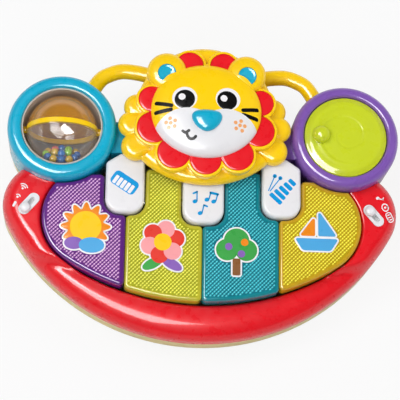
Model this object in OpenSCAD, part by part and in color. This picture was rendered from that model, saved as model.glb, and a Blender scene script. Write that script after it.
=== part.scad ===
// Kick toy piano: a flat musical toy that lies on its back, or hangs from a cot rail by its handle.
// Four hinged light-up keys lie in a curved front case, with three push buttons between them.
// Above the keys are a lion's head, a spinning bead ball and a turning dial.
// The toy lies in the XY plane, face up: +X to its right, +Y towards its handle, +Z out of its face.

/* [Case] */
// Overall width across the wing tips
case_w = 330; // [320:1:340]
// Distance from the middle of the toy to the front edge of the case
case_front = 123.5; // [121:0.5:127]
// Height of the wing tips' middle above the front edge
wing_rise = 111.5; // [108:0.5:114]
// Radius of the wing tips
wing_r = 36; // [33:1:39]
// Height of the rubber feet
foot_h = 2; // [1:0.5:4]
// Height of the base shell's wall
base_h = 16; // [14:1:20]
// Height of the front rail's top above the base shell
rail_h = 22; // [18:0.5:24]
// Height of the wings' top above the base shell
wing_h = 30; // [27:0.5:32]
// Wall thickness of the mouldings
wall = 2.5; // [2:0.1:3]
// Width of the rounded outer edge on the wings
wing_round = 14; // [10:1:17]
// Width of the rounded outer edge on the front rail
rail_round = 20; // [14:1:22]

/* [Keys] */
// Distance from the middle of the toy to the front edge of the key opening
key_front = 95.5; // [93:0.5:97]
// Radius of the front edge of the key opening
key_r = 210; // [205:1:215]
// Radius of the ends of the key opening
key_end_r = 43; // [41:0.5:44]
// Width of the wings beside the key opening
wing_band = 32.5; // [32:0.5:34]
// Distance from the middle to the joint between inner and outer keys
key_split = 63; // [62:0.5:64]
// Height of the keys' top above the base shell
key_top = 34; // [33.5:0.5:35]
// Height of a key's side walls
key_skirt = 13; // [11:0.5:13]
// Wall thickness of a key
key_wall = 2.2; // [1.8:0.1:2.6]
// Radius of a key's top edge
key_round = 2.6; // [2:0.1:3]
// Running gap round a key
key_gap = 1.5; // [1.2:0.1:2]
// Radius of the steel rod that the keys turn on
rod_r = 2; // [1.5:0.1:2.5]
// Running clearance of a bore on its shaft
run_gap = 0.05; // [0.03:0.01:0.08]

/* [Buttons] */
// Width of the side buttons
button_w = 32; // [30:0.5:33]
// Distance from the middle of the toy to a side button
button_x = 64.5; // [64:0.5:65.5]
// Front edge of the side buttons, below the middle of the toy
button_front = 23.5; // [21:0.5:26]
// Width of the middle button
middle_w = 34; // [32:0.5:35]
// Front edge of the middle button, below the middle of the toy
middle_front = 30.5; // [28:0.5:33]
// Height of the buttons' top above the base shell
button_top = 38.5; // [38:0.5:39]
// Travel of a button
button_travel = 2.5; // [2:0.1:2.8]
// Radius of a button's front corners
button_corner = 12; // [9:0.5:13]
// Radius of a button's guide stem
stem_r = 4; // [3:0.25:4.5]

/* [Rings] */
// Distance from the middle of the toy to the middle of a ring
ring_x = 118; // [116:0.5:120]
// Height of the rings' middle above the middle of the toy
ring_y = 47.5; // [46:0.5:49]
// Outer radius of a ring
ring_r = 45; // [44:0.25:46]
// Height of the rings' crest above the base shell
ring_top = 44; // [42:0.5:47]
// Radius of the ball's well
well_r = 33.5; // [32.5:0.25:34.5]

/* [Ball] */
// Radius of the bead ball
ball_r = 29.5; // [28:0.25:30]
// Height of the ball's axis above the base shell
ball_h = 28; // [26:0.5:30]
// Wall thickness of the ball's two halves
ball_wall = 1.6; // [1.2:0.1:2.2]
// Width of the band between the halves
band_w = 4; // [4:0.25:7]
// Radius of the stub axles
stub_r = 3; // [2:0.25:3.5]
// Radius of a bead
bead_r = 3.2; // [2.6:0.1:3.4]

/* [Dial] */
// Radius of the turning disc
disc_r = 34.5; // [33:0.25:35.5]
// Thickness of the disc at its edge
disc_h = 5; // [4:0.25:6]
// Rise of the disc's crown
disc_crown = 2; // [1:0.25:3]
// Radius of the disc's finger knob
knob_r = 7.5; // [6:0.25:9]
// Distance from the disc's middle to the knob
knob_x = 21; // [18:0.5:24]
// Radius of the disc's shaft
shaft_r = 6; // [4.5:0.25:7]
// Teeth on the clicking ratchet
ratchet_teeth = 18; // [12:1:24]

/* [Lion] */
// Half width of the face
face_a = 45.5; // [43:0.5:47]
// Half height of the face
face_b = 40; // [38:0.5:42]
// Middle of the face above the middle of the toy
face_y = 60; // [59:0.5:61]
// Rise of the face's dome
face_rise = 14; // [11:0.5:17]
// Underside of the mane above the base shell
mane_bottom = 40; // [39.5:0.5:42]
// Thickness of the mane's outer row
mane_h = 8; // [6:0.5:10]
// Thickness of the mane's inner row
petal_h = 6; // [5:0.5:8]
// Radius of an ear
ear_r = 16.5; // [15:0.5:18]
// Rise of an ear
ear_rise = 7; // [5:0.5:9]

/* [Handle] */
// Radius of the handle's grip
handle_r = 6.5; // [5.5:0.25:7]
// Height of the handle's middle above the base shell
handle_h = 24; // [22:0.5:26]

/* [Switches] */
// Travel of a slide switch
slide_travel = 9; // [7:0.5:10]
// Radius of a slide switch's knob
slide_r = 4.3; // [3.8:0.1:4.6]

/* [Hidden] */

$fn = 64;
cut = 1;            // how far a cutting shape runs past a face
seat_gap = 0.2;     // gap between pieces that are clamped together
fit_gap = 0.1;      // gap round an inlay
seam_z = foot_h + base_h;
floor_z = foot_h + wall;
fillet_steps = 3;   // facets round a moulded edge

// Outlines of the case and of its key opening: circles that touch inside each other
wing_x = case_w / 2 - wing_r;
wing_y = wing_rise - case_front;
front_r = (wing_x * wing_x + wing_rise * wing_rise - wing_r * wing_r) / (2 * (wing_rise - wing_r));
front_cy = front_r - case_front;
wing_turn = atan2(wing_y - front_cy, wing_x);
key_cy = key_r - key_front;
key_end_x = case_w / 2 - wing_band - key_end_r;
key_end_y = key_cy - sqrt(pow(key_r - key_end_r, 2) - key_end_x * key_end_x);
key_turn = atan2(key_end_y - key_cy, key_end_x);
wing_start = 86;    // how far round the wing the case runs, under the ring

// Vertical places
rail_z = seam_z + rail_h;
wing_z = seam_z + wing_h;
key_z = seam_z + key_top;
button_z = seam_z + button_top;
ring_z = seam_z + ring_top;
ball_z = seam_z + ball_h;
mane_z = seam_z + mane_bottom;
petal_z = mane_z + mane_h;
face_z = petal_z + petal_h;
handle_z = seam_z + handle_h;

// The crease where the front rail drops below the wings: a line in plan, on each side
crease_from = [case_w / 2 - 15, -55.5];
crease_normal = [-0.236, 0.972];
crease_w = 7;

// The key rod and what the keys press
rod_y = -8;
rod_z = key_z - key_skirt - 6;
key_swing = 3.2;
plunger_y = -50;
board_z = floor_z + 16.5;
board_h = 1.6;
dome_h = 3;
press_gap = 0.3;
lug_r = rod_r + 2.5;

// Buttons
button_back = 27;
button_slant = 8;
middle_back = 14;
button_skirt = 12;
notch_gap = key_gap;
key_back = 15;
key_tip = 9;
stem_y = 8;
middle_stem_y = 4;
guide_top = seam_z + 17;
guide_h = 8;

// Lion: places [x, y] as shares of the face's half sizes, with a radius each, for the right half
mane_y = face_y + 2.5;
mane_core = [face_a + 12.5, face_b + 18];
mane_brim = [face_a + 25.3, face_b + 21.5];
brim_level = -0.62; // sine of the angle below which the mane's edge is the smooth brim
side_lobes = [[1.242, 0.1, 11], [1.34, -0.288, 11], [1.253, -0.763, 12]];
petals = [[0, -1.025, 13.2], [0.57, -0.905, 13.7], [0.95, -0.378, 13.6],
          [0.985, 0.233, 11.2], [0.308, 1.013, 11.5]];
petal_rim = 2.2;
petal_t = 1.2;
rim_h = 0.8;        // how far the yellow rims stand above the petals
rim_round = 1.5;
lobe_steps = 108;
ear_at = [33, 34];
ear_inlay_r = 8.5;

function unit(v) = v / norm(v);
function left(v) = [-v.y, v.x];
function polar(r, a) = r * [cos(a), sin(a)];
function smooth(t) = let (u = min(1, max(0, t))) u * u * (3 - 2 * u);
function arc(c, r, a, b, n) = [for (i = [0:n]) c + polar(r, a + (b - a) * i / n)];
function at_height(points, z) = [for (p = points) [p.x, p.y, z]];
function flip(points) = [for (i = [len(points) - 1:-1:0]) [-points[i].x, points[i].y]];

// A polygon moved inwards by d; its points run anticlockwise
function shrink(points, d) =
    let (n = len(points))
    [for (i = [0:n - 1])
        let (p = points[(i + n - 1) % n], q = points[i], s = points[(i + 1) % n],
             a = left(unit(q - p)), b = left(unit(s - q)))
        q + d * (a + b) / (1 + a * b)];

// One rounded corner q between p and s, as the points of its arc
function corner(p, q, s, r, n) =
    let (u = unit(p - q), v = unit(s - q), half = acos(u * v) / 2,
         c = q + unit(u + v) * r / sin(half),
         from = q + u * r / tan(half) - c, to = q + v * r / tan(half) - c,
         turn = (180 - 2 * half) * sign(cross(from, to)), start = atan2(from.y, from.x))
    [for (i = [0:n]) c + polar(r, start + turn * i / n)];

// A path of [x, y, radius] corners as plain points; a radius of 0 keeps the corner
function round_path(v, n = 4) =
    let (m = len(v))
    [for (i = [0:m - 1])
        let (p = v[(i + m - 1) % m], q = v[i], s = v[(i + 1) % m])
        each q[2] == 0 ? [[q.x, q.y]] : corner([p.x, p.y], [q.x, q.y], [s.x, s.y], q[2], n)];
function sharp(points) = [for (p = points) [p.x, p.y, 0]];

// A closed solid through rings of points, which run anticlockwise seen from the end
module loft(rings) {
    n = len(rings[0]);
    m = len(rings);
    sides = [for (j = [0:m - 2], i = [0:n - 1])
        let (a = j * n + i, b = j * n + (i + 1) % n)
        each [[a, a + n, b + n], [a, b + n, b]]];
    polyhedron(points = [for (r = rings) each r],
               faces = concat([[for (i = [0:n - 1]) i]], sides, [[for (i = [n - 1:-1:0]) (m - 1) * n + i]]));
}

// Levels [height, inset] of a moulded top edge of radius r
function rounded_top(z, r) =
    [for (i = [0:fillet_steps]) let (a = 90 * i / fillet_steps) [z - r + r * sin(a), r - r * cos(a)]];

// A shell open below: outline, bottom, top, wall and radius of its top edge
module cap(outline, low, high, thick, round) {
    inner = at_height(shrink(outline, thick), high - thick);
    rim = at_height(shrink(outline, thick), low);
    outer = [for (l = concat([[low, 0]], rounded_top(high, round))) at_height(shrink(outline, l[1]), l[0])];
    loft(concat([inner, rim], outer));
}

// A tube of radius r along a path of points, in planes square to it
function frame_x(d) = unit(cross(d, [0, 0, 1]));
module tube(path, r, sides) {
    last = len(path) - 1;
    rings = [for (i = [0:last])
        let (d = unit(path[min(last, i + 1)] - path[max(0, i - 1)]), x = frame_x(d), y = cross(x, d))
        [for (k = [0:sides - 1]) path[i] + r * (cos(360 * k / sides) * x - sin(360 * k / sides) * y)]];
    loft(rings);
}

// Case outline, moved inwards by d, as points; the top closes behind the rings
function case_half(d, n_wing, n_front) = concat(
    arc([wing_x, wing_y], wing_r - d, wing_start, wing_turn, n_wing),
    [for (i = [1:n_front]) [0, front_cy] + polar(front_r - d, wing_turn + (-90 - wing_turn) * i / n_front)]);
function case_path(d, n_wing, n_front) =
    let (half = case_half(d, n_wing, n_front))
    concat([for (p = half) p], [for (i = [len(half) - 2:-1:0]) [-half[i].x, half[i].y]]);

// The nearest point of the key opening to a point of the case's outline
function opening_near(p) =
    let (q = [abs(p.x), p.y], end = [key_end_x, key_end_y], mid = [0, key_cy],
         from_end = q - end, on_end = atan2(from_end.y, from_end.x) > key_turn,
         r = on_end ? end + key_end_r * unit(from_end) : mid + key_r * unit(q - mid))
    [sign(p.x) * r.x, r.y];

// Height of the case's top over a point, with the drop from wing to rail
function case_top(p) =
    let (d = ([abs(p.x), p.y] - crease_from) * crease_normal)
    rail_z + (wing_z - rail_z) * smooth(d / crease_w + 0.5);
function edge_round(p) =
    let (d = ([abs(p.x), p.y] - crease_from) * crease_normal)
    rail_round + (wing_round - rail_round) * smooth(d / 30 + 0.5);

// One cross-section of the front case, from its outer edge p to the key opening
wall_foot = 0.3;    // share of the outer wall that stands upright
skirt_low = 0.35;   // how low the wall round the keys reaches, as a share of the height
function case_section(p) =
    let (q = opening_near(p), w = norm(q - p), dir = (q - p) / w, b = min(edge_round(p), w * 0.7),
         outside = concat([[0, 0]],
             [for (i = [0:6]) let (a = 15 * i) [b - b * cos(a), wall_foot + (1 - wall_foot) * sin(a)]],
             [[w - wall, 1], [w - wall * 0.3, 0.97], [w, 0.88], [w, skirt_low]]),
         inside = [[w - wall, skirt_low], [w - wall, 0.86], [b, 0.86], [b * 0.45 + wall, 0.68],
                   [wall + b * 0.12, 0.42], [wall, 0]])
    [for (k = concat(outside, inside))
        let (xy = p + dir * k[0], z = case_top(xy))
        [xy.x, xy.y, seam_z + k[1] * (z - seam_z)]];

module oval(length, width, height) {
    linear_extrude(height)
        union() {
            translate([-length / 2 + width / 2, 0]) circle(d = width);
            translate([length / 2 - width / 2, 0]) circle(d = width);
            square([length - width, width], center = true);
        }
}

// Slide switches: the left one slides up and inwards, the right one down and outwards
slide_angle = 50;
slide_in = 22.5;
slide_at = [case_w / 2 - slide_in, -16.8];
bezel_l = slide_travel + 2 * slide_r + 3.5;
bezel_w = 2 * slide_r + 0.8;
bezel_h = 3;
bezel_proud = 0.3;
bezel_low = bezel_proud - bezel_h;
slot_w = 4.2;
module at_slide(side) {
    translate([side * slide_at.x, slide_at.y, wing_z]) rotate(-side * slide_angle) children();
}

module front_case() {
    path = case_path(0, 14, 22);
    color("crimson")
        difference() {
            loft([for (i = [len(path) - 1:-1:0]) case_section(path[i])]);
            for (side = [-1, 1]) {
                translate([side * ring_x, ring_y, 0]) cylinder(r = ring_r + seat_gap, h = ring_z);
                at_slide(side) translate([0, 0, -wing_h])
                    oval(bezel_l + 2 * seat_gap, bezel_w + 2 * seat_gap, wing_h + cut);
            }
        }
}

// Base shell: a tray under the case, the rings and the head
tower_r = 43;
tower_y = face_y + 6;
arm_y = [29, 56];
module base_outline(d) {
    polygon(case_path(d, 14, 22));
    for (side = [-1, 1]) translate([side * ring_x, ring_y]) circle(r = ring_r - 1 - d);
    translate([0, tower_y]) circle(r = tower_r - d);
    translate([-ring_x, d]) square([2 * ring_x, arm_y[1] - 2 * d]);
}

// Places of the screws that hold the base shell to the mouldings above it
screw_r = 1.5;
screw_head_r = 3;
screw_bite = 9;
screw_sink = 4;
head_h = 2;
boss_r = 4.5;
arm_screw = [50, 46];
rim_screws = [for (a = [40, -70]) [ring_x, ring_y] + polar(ring_r - wall - boss_r + 0.5, a)];
screw_places = [for (s = [-1, 1], p = concat([arm_screw], rim_screws)) [s * p.x, p.y]];
foot_places = [for (s = [-1, 1], p = [[104, 40], [70, -80]]) [s * p.x, p.y]];
foot_r = 8;
foot_sink = 1;
post_out = key_end_x + key_end_r - 11.5;
post_places = [-post_out, -key_split, 0, key_split, post_out];
post_w = 6;
stand_at = [46, -36];

// Battery compartment in the back, behind the lion's head
cell_r = 7.1;
cell_l = 50.5;
cell_pitch = 15.2;
cell_count = 3;
bay_l = cell_l + 9;
bay_w = cell_pitch * (cell_count - 1) + 2 * cell_r + 2;
bay_y = tower_y - 4;
bay_h = 2 * cell_r + 2;
door_h = wall;
door_lap = 5;
door_screw = [bay_l / 2 + door_lap / 2 + 0.2, bay_y];

door_head_h = 1;
door_screw_l = 6;

speaker_r = 25;
speaker_at = [0, -58];
grille_slot = 2.6;

module grille() {
    for (i = [-3:3])
        let (half = sqrt(pow(speaker_r - 6, 2) - pow(i * 5.5, 2)))
        translate([speaker_at.x, speaker_at.y + i * 5.5, foot_h - cut])
            oval(2 * half, grille_slot, wall + 2 * cut);
}

// The lip that locates the front case, along the inside of the base shell's wall
lip_h = 3;
lip_t = 1.6;
lip_in = wall - 0.2;
lip_gap = 1.4;
module case_lip(d) {
    intersection() {
        difference() {
            polygon(case_path(d, 14, 22));
            polygon(case_path(wall + lip_gap + lip_t, 14, 22));
        }
        translate([-case_w, -2 * case_w]) square([2 * case_w, 2 * case_w]);
    }
}

module rod_post(x) {
    translate([x - post_w / 2, rod_y - lug_r, floor_z]) cube([post_w, 2 * lug_r, rod_z - floor_z]);
    translate([x - post_w / 2, rod_y, rod_z]) rotate([0, 90, 0]) cylinder(r = lug_r, h = post_w);
}

module rod_hole() {
    translate([0, rod_y, rod_z]) rotate([0, 90, 0]) cylinder(r = rod_r + run_gap, h = case_w, center = true);
}

module base_shell() {
    color("wheat")
        difference() {
            union() {
                difference() {
                    translate([0, 0, foot_h]) linear_extrude(base_h) base_outline(0);
                    translate([0, 0, floor_z]) linear_extrude(base_h + cut) base_outline(wall);
                }
                translate([0, 0, seam_z - lip_h]) linear_extrude(lip_h) case_lip(lip_in);
                translate([0, 0, seam_z - cut]) linear_extrude(lip_h + cut) case_lip(wall + lip_gap);
                for (x = post_places) rod_post(x);
                for (p = screw_places) translate([p.x, p.y, foot_h]) cylinder(r = boss_r, h = base_h);
                for (s = [-1, 1])
                    translate([s * stand_at.x, stand_at.y, foot_h])
                        cylinder(r = boss_r, h = board_z - foot_h);
                translate([0, speaker_at.y, foot_h])
                    linear_extrude(wall + 3)
                        difference() {
                            circle(r = speaker_r + 3);
                            circle(r = speaker_r + 0.4);
                        }
                translate([-bay_l / 2 - wall, bay_y - bay_w / 2 - wall, foot_h])
                    cube([bay_l + 2 * wall, bay_w + 2 * wall, bay_h + 2 * wall]);
            }
            translate([-bay_l / 2, bay_y - bay_w / 2, foot_h - cut]) cube([bay_l, bay_w, bay_h + wall + cut]);
            translate([-bay_l / 2 - door_lap, bay_y - bay_w / 2 - door_lap, foot_h - cut])
                cube([bay_l + 2 * door_lap, bay_w + 2 * door_lap, door_h - 1 + cut]);
            rod_hole();
            for (p = screw_places)
                translate([p.x, p.y, foot_h - cut]) {
                    cylinder(r = screw_r + 0.2, h = base_h + 2 * cut);
                    cylinder(r = screw_head_r + 0.3, h = screw_sink + head_h + cut);
                }
            for (p = foot_places)
                translate([p.x, p.y, foot_h - cut]) cylinder(r = foot_r + 0.2, h = foot_sink + cut);
            translate([door_screw.x, door_screw.y, foot_h - cut])
                cylinder(r = screw_r + run_gap, h = door_screw_l + 2 * cut);
            grille();
        }
}

// The ring housings: hollow turned rims with an arm under the lion's head
crest_r = 6.5;
crest_h = 8;
function rim_profile(inner, low) = concat(
    [[ring_r - wall, low], [ring_r, low]],
    [for (i = [0:6])
        let (a = 15 * i)
        [ring_r - crest_r + crest_r * cos(a), ring_z - crest_h + crest_h * sin(a)]],
    [for (i = [0:3]) let (a = 90 + 30 * i) [inner + wall + wall * cos(a), ring_z - wall + wall * sin(a)]],
    [[inner, low], [inner + wall, low]],
    [[inner + wall, ring_z - wall * 2.2], [ring_r - crest_r, ring_z - wall * 1.4],
     [ring_r - wall, ring_z - crest_h - wall]]);

arm_end = 2;
arm_drop = 8;
module ring_arm(side) {
    points = [[side * arm_end, arm_y[0]], [side * (ring_x - ring_r + 6), arm_y[0]],
              [side * (ring_x - ring_r + 6), arm_y[1]], [side * arm_end, arm_y[1]]];
    inner = [[side * (arm_end + wall), arm_y[0] + wall], [side * ring_x, arm_y[0] + wall],
             [side * ring_x, arm_y[1] - wall], [side * (arm_end + wall), arm_y[1] - wall]];
    difference() {
        translate([0, 0, seam_z]) linear_extrude(mane_bottom - arm_drop) polygon(points);
        translate([0, 0, seam_z - cut]) linear_extrude(mane_bottom - arm_drop - wall + cut) polygon(inner);
        translate([side * ring_x, ring_y, 0]) cylinder(r = ring_r - wall / 2, h = 2 * ring_z);
        translate([-bay_l / 2 - wall - 1, 0, 0])
            cube([bay_l + 2 * wall + 2, bay_y + bay_w, foot_h + bay_h + 2 * wall + 1]);
    }
    translate([side * arm_screw.x, arm_screw.y, seam_z])
        cylinder(r = boss_r, h = mane_bottom - arm_drop - wall / 2);
}
module rim_bosses(side) {
    for (p = rim_screws)
        translate([side * p.x, p.y, seam_z]) cylinder(r = boss_r - 0.6, h = ring_top - crest_h + 1);
}
module screw_holes(side) {
    for (p = concat([arm_screw], rim_screws))
        translate([side * p.x, p.y, seam_z - cut]) cylinder(r = screw_r + run_gap, h = screw_bite + 2 * cut);
}

boss_out = ring_r - wall / 2;
module ball_ring() {
    color("deepskyblue")
        difference() {
            union() {
                translate([-ring_x, ring_y, 0]) rotate_extrude($fn = 96) polygon(rim_profile(well_r, seam_z));
                ring_arm(-1);
                rim_bosses(-1);
                for (s = [-1, 1])
                    translate([-ring_x + s * (well_r + wall / 2), ring_y, ball_z])
                        rotate([0, s * 90, 0]) cylinder(r = stub_r + 2.5, h = boss_out - well_r - wall / 2);
            }
            screw_holes(-1);
            translate([-ring_x, ring_y, ball_z]) rotate([0, 90, 0])
                cylinder(r = stub_r + run_gap, h = 2 * (well_r + 5), center = true);
        }
}

// Dial housing: the same rim with a floor that carries the disc's shaft
dial_well = disc_r + 0.8;
disc_low = ring_z - disc_h - 1.5;
dial_floor = disc_low - 1 - wall;
module dial_ring() {
    color("mediumpurple")
        difference() {
            union() {
                translate([ring_x, ring_y, 0])
                    rotate_extrude($fn = 96) polygon(rim_profile(dial_well, seam_z));
                translate([ring_x, ring_y, dial_floor]) cylinder(r = dial_well + wall / 2, h = wall);
                translate([ring_x, ring_y, dial_floor - 5]) cylinder(r = shaft_r + 3, h = 5 + wall / 2);
                ring_arm(1);
                rim_bosses(1);
            }
            screw_holes(1);
            translate([ring_x, ring_y, 0]) cylinder(r = shaft_r + run_gap, h = 2 * ring_z);
        }
}

// Handle: a tube from ring to ring, which passes behind the lion's head
handle_end = [ring_x - ring_r * cos(58) + 3, ring_y + ring_r * sin(58) - 5];
handle_points = [[0, 96], [-26, 97.5], [-46, 101.5], [-58, 103.8], [-70, 104.3], [-80, 101], [-88, 95.5]];
function bezier(p, q, r, t) = (1 - t) * (1 - t) * p + 2 * t * (1 - t) * q + t * t * r;
handle_half = concat([handle_points[0]],
    [for (i = [1:len(handle_points) - 2], t = [0.25, 0.75])
        bezier((handle_points[i - 1] + handle_points[i]) / 2, handle_points[i],
               (handle_points[i] + handle_points[i + 1]) / 2, t)],
    [handle_points[len(handle_points) - 1], [-handle_end.x, handle_end.y]]);
module handle() {
    left_half = [for (p = handle_half) [p.x, p.y, handle_z]];
    right_half = [for (i = [len(handle_half) - 1:-1:1]) [-handle_half[i].x, handle_half[i].y, handle_z]];
    color("gold")
        difference() {
            tube(concat(right_half, left_half), handle_r, 16);
            for (s = [-1, 1])
                translate([s * ring_x, ring_y, 0]) cylinder(r = ring_r + seat_gap, h = 2 * ring_z, $fn = 96);
        }
}

// Key outlines, for the keys on the left; those on the right are their mirror images
front_gap = key_gap;
function key_y(x) = key_cy - sqrt(pow(key_r - front_gap, 2) - x * x);
split_gap = key_gap / 2;
side_notch = -button_front - notch_gap;
middle_notch = -middle_front - notch_gap;
notch_in = -button_x + button_w / 2 + notch_gap;
notch_out = -button_x - button_w / 2 - notch_gap;
notch_mid = -middle_w / 2 - notch_gap;
key_corner = key_round + 0.5;
corner_gap = key_corner + 0.3;
inner_left = -key_split + split_gap;
outer_right = -key_split - split_gap;
notch_r = min(button_corner + notch_gap, notch_in - inner_left - corner_gap,
              -split_gap - notch_mid - corner_gap);
outer_notch_r = min(button_corner + notch_gap, outer_right - notch_out - corner_gap);

inner_key = round_path(concat(
    [[inner_left, key_y(inner_left), key_corner]],
    sharp([for (i = [1:7]) let (x = inner_left + (-split_gap - inner_left) * i / 8) [x, key_y(x)]]),
    [[-split_gap, key_y(-split_gap), key_corner],
     [-split_gap, middle_notch, key_corner],
     [notch_mid, middle_notch, notch_r],
     [notch_mid, key_back, key_corner],
     [notch_in, key_back, key_corner],
     [notch_in, side_notch, notch_r],
     [inner_left, side_notch, key_corner]]));

ring_clear = ring_r + key_gap;
end_clear = key_end_r - key_gap;
end_low = key_cy + (key_r - key_gap) * sin(key_turn);
// How far the outer keys reach sideways at a height y of the plan
function keys_reach(y) =
    y > end_low ? key_end_x + sqrt(end_clear * end_clear - pow(y - key_end_y, 2))
                : sqrt(pow(key_r - key_gap, 2) - pow(key_cy - y, 2));
ring_to_end = [-key_end_x + ring_x, key_end_y - ring_y];
ring_reach = (ring_clear * ring_clear - end_clear * end_clear + ring_to_end * ring_to_end)
           / (2 * norm(ring_to_end));
ring_meet = [-ring_x, ring_y] + ring_reach * unit(ring_to_end)
          - sqrt(ring_clear * ring_clear - ring_reach * ring_reach) * left(unit(ring_to_end));
meet_ring = atan2(ring_meet.y - ring_y, ring_meet.x + ring_x);
meet_end = atan2(ring_meet.y - key_end_y, ring_meet.x + key_end_x);
end_from = meet_end < 0 ? meet_end + 360 : meet_end;
tip_ring = asin((key_tip - ring_y) / ring_clear);
outer_front = [outer_right, key_y(outer_right)];
front_turn = atan2(outer_front.y - key_cy, outer_front.x);
outer_key = round_path(concat(
    [[outer_front.x, outer_front.y, key_corner],
     [outer_right, side_notch, key_corner],
     [notch_out, side_notch, outer_notch_r],
     [notch_out, key_tip, key_corner]],
    sharp(arc([-ring_x, ring_y], ring_clear, tip_ring, meet_ring, 7)),
    sharp([for (i = [1:13])
        [-key_end_x, key_end_y] + polar(end_clear, end_from + (180 - key_turn - end_from) * i / 13)]),
    sharp([for (i = [1:6])
        [0, key_cy] + polar(key_r - key_gap, 180 - key_turn + (front_turn + 180 + key_turn) * i / 7)])));

module key_cap(outline) {
    cap(outline, key_z - key_skirt, key_z, key_wall, key_round);
}
module key_outer_left() { color("darkorchid") key_cap(outer_key); }
module key_inner_left() { color("yellowgreen") key_cap(inner_key); }
module key_inner_right() { color("darkcyan") key_cap(flip(inner_key)); }
module key_outer_right() { color("gold") key_cap(flip(outer_key)); }

// A key's lever frame: a plate in the cap, posts to its top, hinge lugs and a plunger
plate_h = 2;
plate_z = key_z - key_skirt;
lug_w = 4;
dome_top = board_z + board_h + dome_h;
plunger_low = dome_top + press_gap + (rod_y - plunger_y) * sin(key_swing);
rib_r = 2.5;
module key_carrier(side, span, plate) {
    mid = (span[0] + span[1]) / 2;
    color("whitesmoke")
        difference() {
            union() {
                translate([side > 0 ? -span[1] : span[0], plate[0], plate_z])
                    cube([span[1] - span[0], plate[1] - plate[0], plate_h]);
                for (x = [span[0] + lug_w, span[1] - lug_w])
                    translate([-side * x, 0, 0]) {
                        translate([-lug_w / 2, rod_y - lug_r, rod_z])
                            cube([lug_w, 2 * lug_r, plate_z - rod_z + cut]);
                        translate([-lug_w / 2, rod_y, rod_z])
                            rotate([0, 90, 0]) cylinder(r = lug_r, h = lug_w);
                        for (y = [plate[0] + 2 * rib_r, rod_y - 12])
                            translate([0, y, plate_z + cut])
                                cylinder(r = rib_r, h = key_skirt - key_wall - cut);
                    }
                translate([-side * mid, plunger_y, plunger_low])
                    cylinder(r = 3.5, h = plate_z - plunger_low + cut);
            }
            rod_hole();
        }
}
outer_plate = [-56, rod_y + 5];
inner_plate = [-80, rod_y + 8];
plate_gap = 5;
outer_span = [-keys_reach(outer_plate[0]) + key_wall + plate_gap, notch_out - key_wall - plate_gap / 2];
inner_span = [notch_in + key_wall + 1, notch_mid - key_wall - 1];
module carrier_outer_left() { key_carrier(-1, outer_span, outer_plate); }
module carrier_inner_left() { key_carrier(-1, inner_span, inner_plate); }
module carrier_inner_right() { key_carrier(1, inner_span, inner_plate); }
module carrier_outer_right() { key_carrier(1, outer_span, outer_plate); }

rod_l = 2 * post_out + 2 * post_w;
module pivot_rod() {
    color("silver")
        translate([0, rod_y, rod_z]) rotate([0, 90, 0]) cylinder(r = rod_r, h = rod_l, center = true);
}

// Push buttons: a rounded cap with a slanting back, on a guide stem
stem_low = dome_top + press_gap + button_travel;
module button(outline, stem) {
    color("whitesmoke")
        union() {
            hull()
                for (l = concat([[button_z - button_skirt, 0]], rounded_top(button_z, 2)))
                    translate([0, 0, l[0] - 0.01]) linear_extrude(0.01) polygon(shrink(outline, l[1]));
            translate([stem.x, stem.y, stem_low])
                cylinder(r = stem_r, h = button_z - button_skirt - stem_low + cut);
        }
}
side_button = round_path([
    [-button_x - button_w / 2, -button_front, button_corner],
    [-button_x + button_w / 2, -button_front, button_corner],
    [-button_x + button_w / 2, button_back, 2],
    [-button_x - button_w / 2 + 12, button_back, 2],
    [-button_x - button_w / 2, button_back - button_slant, 2]], 6);
middle_button = round_path([
    [-middle_w / 2, -middle_front, button_corner],
    [middle_w / 2, -middle_front, button_corner],
    [middle_w / 2, middle_back, 2],
    [-middle_w / 2, middle_back, 2]], 6);
module button_left() { button(side_button, [-button_x, stem_y]); }
module button_middle() { button(middle_button, [0, middle_stem_y]); }
module button_right() { button(flip(side_button), [button_x, stem_y]); }

// The bar that guides the buttons' stems, on two legs
guide_leg = [36, 8];
guide_w = 15;
module button_guide() {
    color("whitesmoke")
        difference() {
            union() {
                translate([0, (stem_y + middle_stem_y) / 2, guide_top - guide_h])
                    oval(2 * button_x + 20, guide_w, guide_h);
                for (s = [-1, 1])
                    translate([s * guide_leg.x, guide_leg.y, floor_z])
                        cylinder(r = 3.5, h = guide_top - guide_h - floor_z + cut);
            }
            for (p = [[-button_x, stem_y], [0, middle_stem_y], [button_x, stem_y]])
                translate([p.x, p.y, guide_top - guide_h - cut])
                    cylinder(r = stem_r + run_gap, h = guide_h + 2 * cut);
        }
}

// How far a ray at angle a from the face's middle reaches the far side of a circle [x, y, r]
function reach(a, c) =
    let (d = [cos(a), sin(a)], along = d.x * c[0] + d.y * c[1], off = d.x * c[1] - d.y * c[0],
         rest = c[2] * c[2] - off * off)
    rest < 0 ? 0 : along + sqrt(rest);
function ellipse_r(a, size) = 1 / sqrt(pow(cos(a) / size[0], 2) + pow(sin(a) / size[1], 2));
function lobed(circles, core, brim, d) =
    [for (i = [0:lobe_steps - 1])
        let (a = 360 * i / lobe_steps, hits = [for (c = circles) reach(a, [c[0], c[1], c[2] - d])],
             inner = ellipse_r(a, sin(a) < brim_level ? brim : core))
        polar(max(concat(hits, [inner - d])), a)];

// The rings of a pillow-like row of lobes between two heights, with edges rounded to r
function lobed_row(circles, core, brim, low, high, r) =
    [for (l = concat([[low, 0]], rounded_top(high, r))) at_height(lobed(circles, core, brim, l[1]), l[0])];

// Places given for the right half, as circles of both halves
function on_face(places, grow) =
    [for (s = [-1, 1], p = places) if (s > 0 || p.x > 0) [s * p.x * face_a, p.y * face_b, p[2] + grow]];

mane_posts = [[-28, 42], [28, 42]];
post_r = 5;
skirt_from = arm_y[1] + 1.5;
skirt_r = tower_r - 1;
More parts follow.
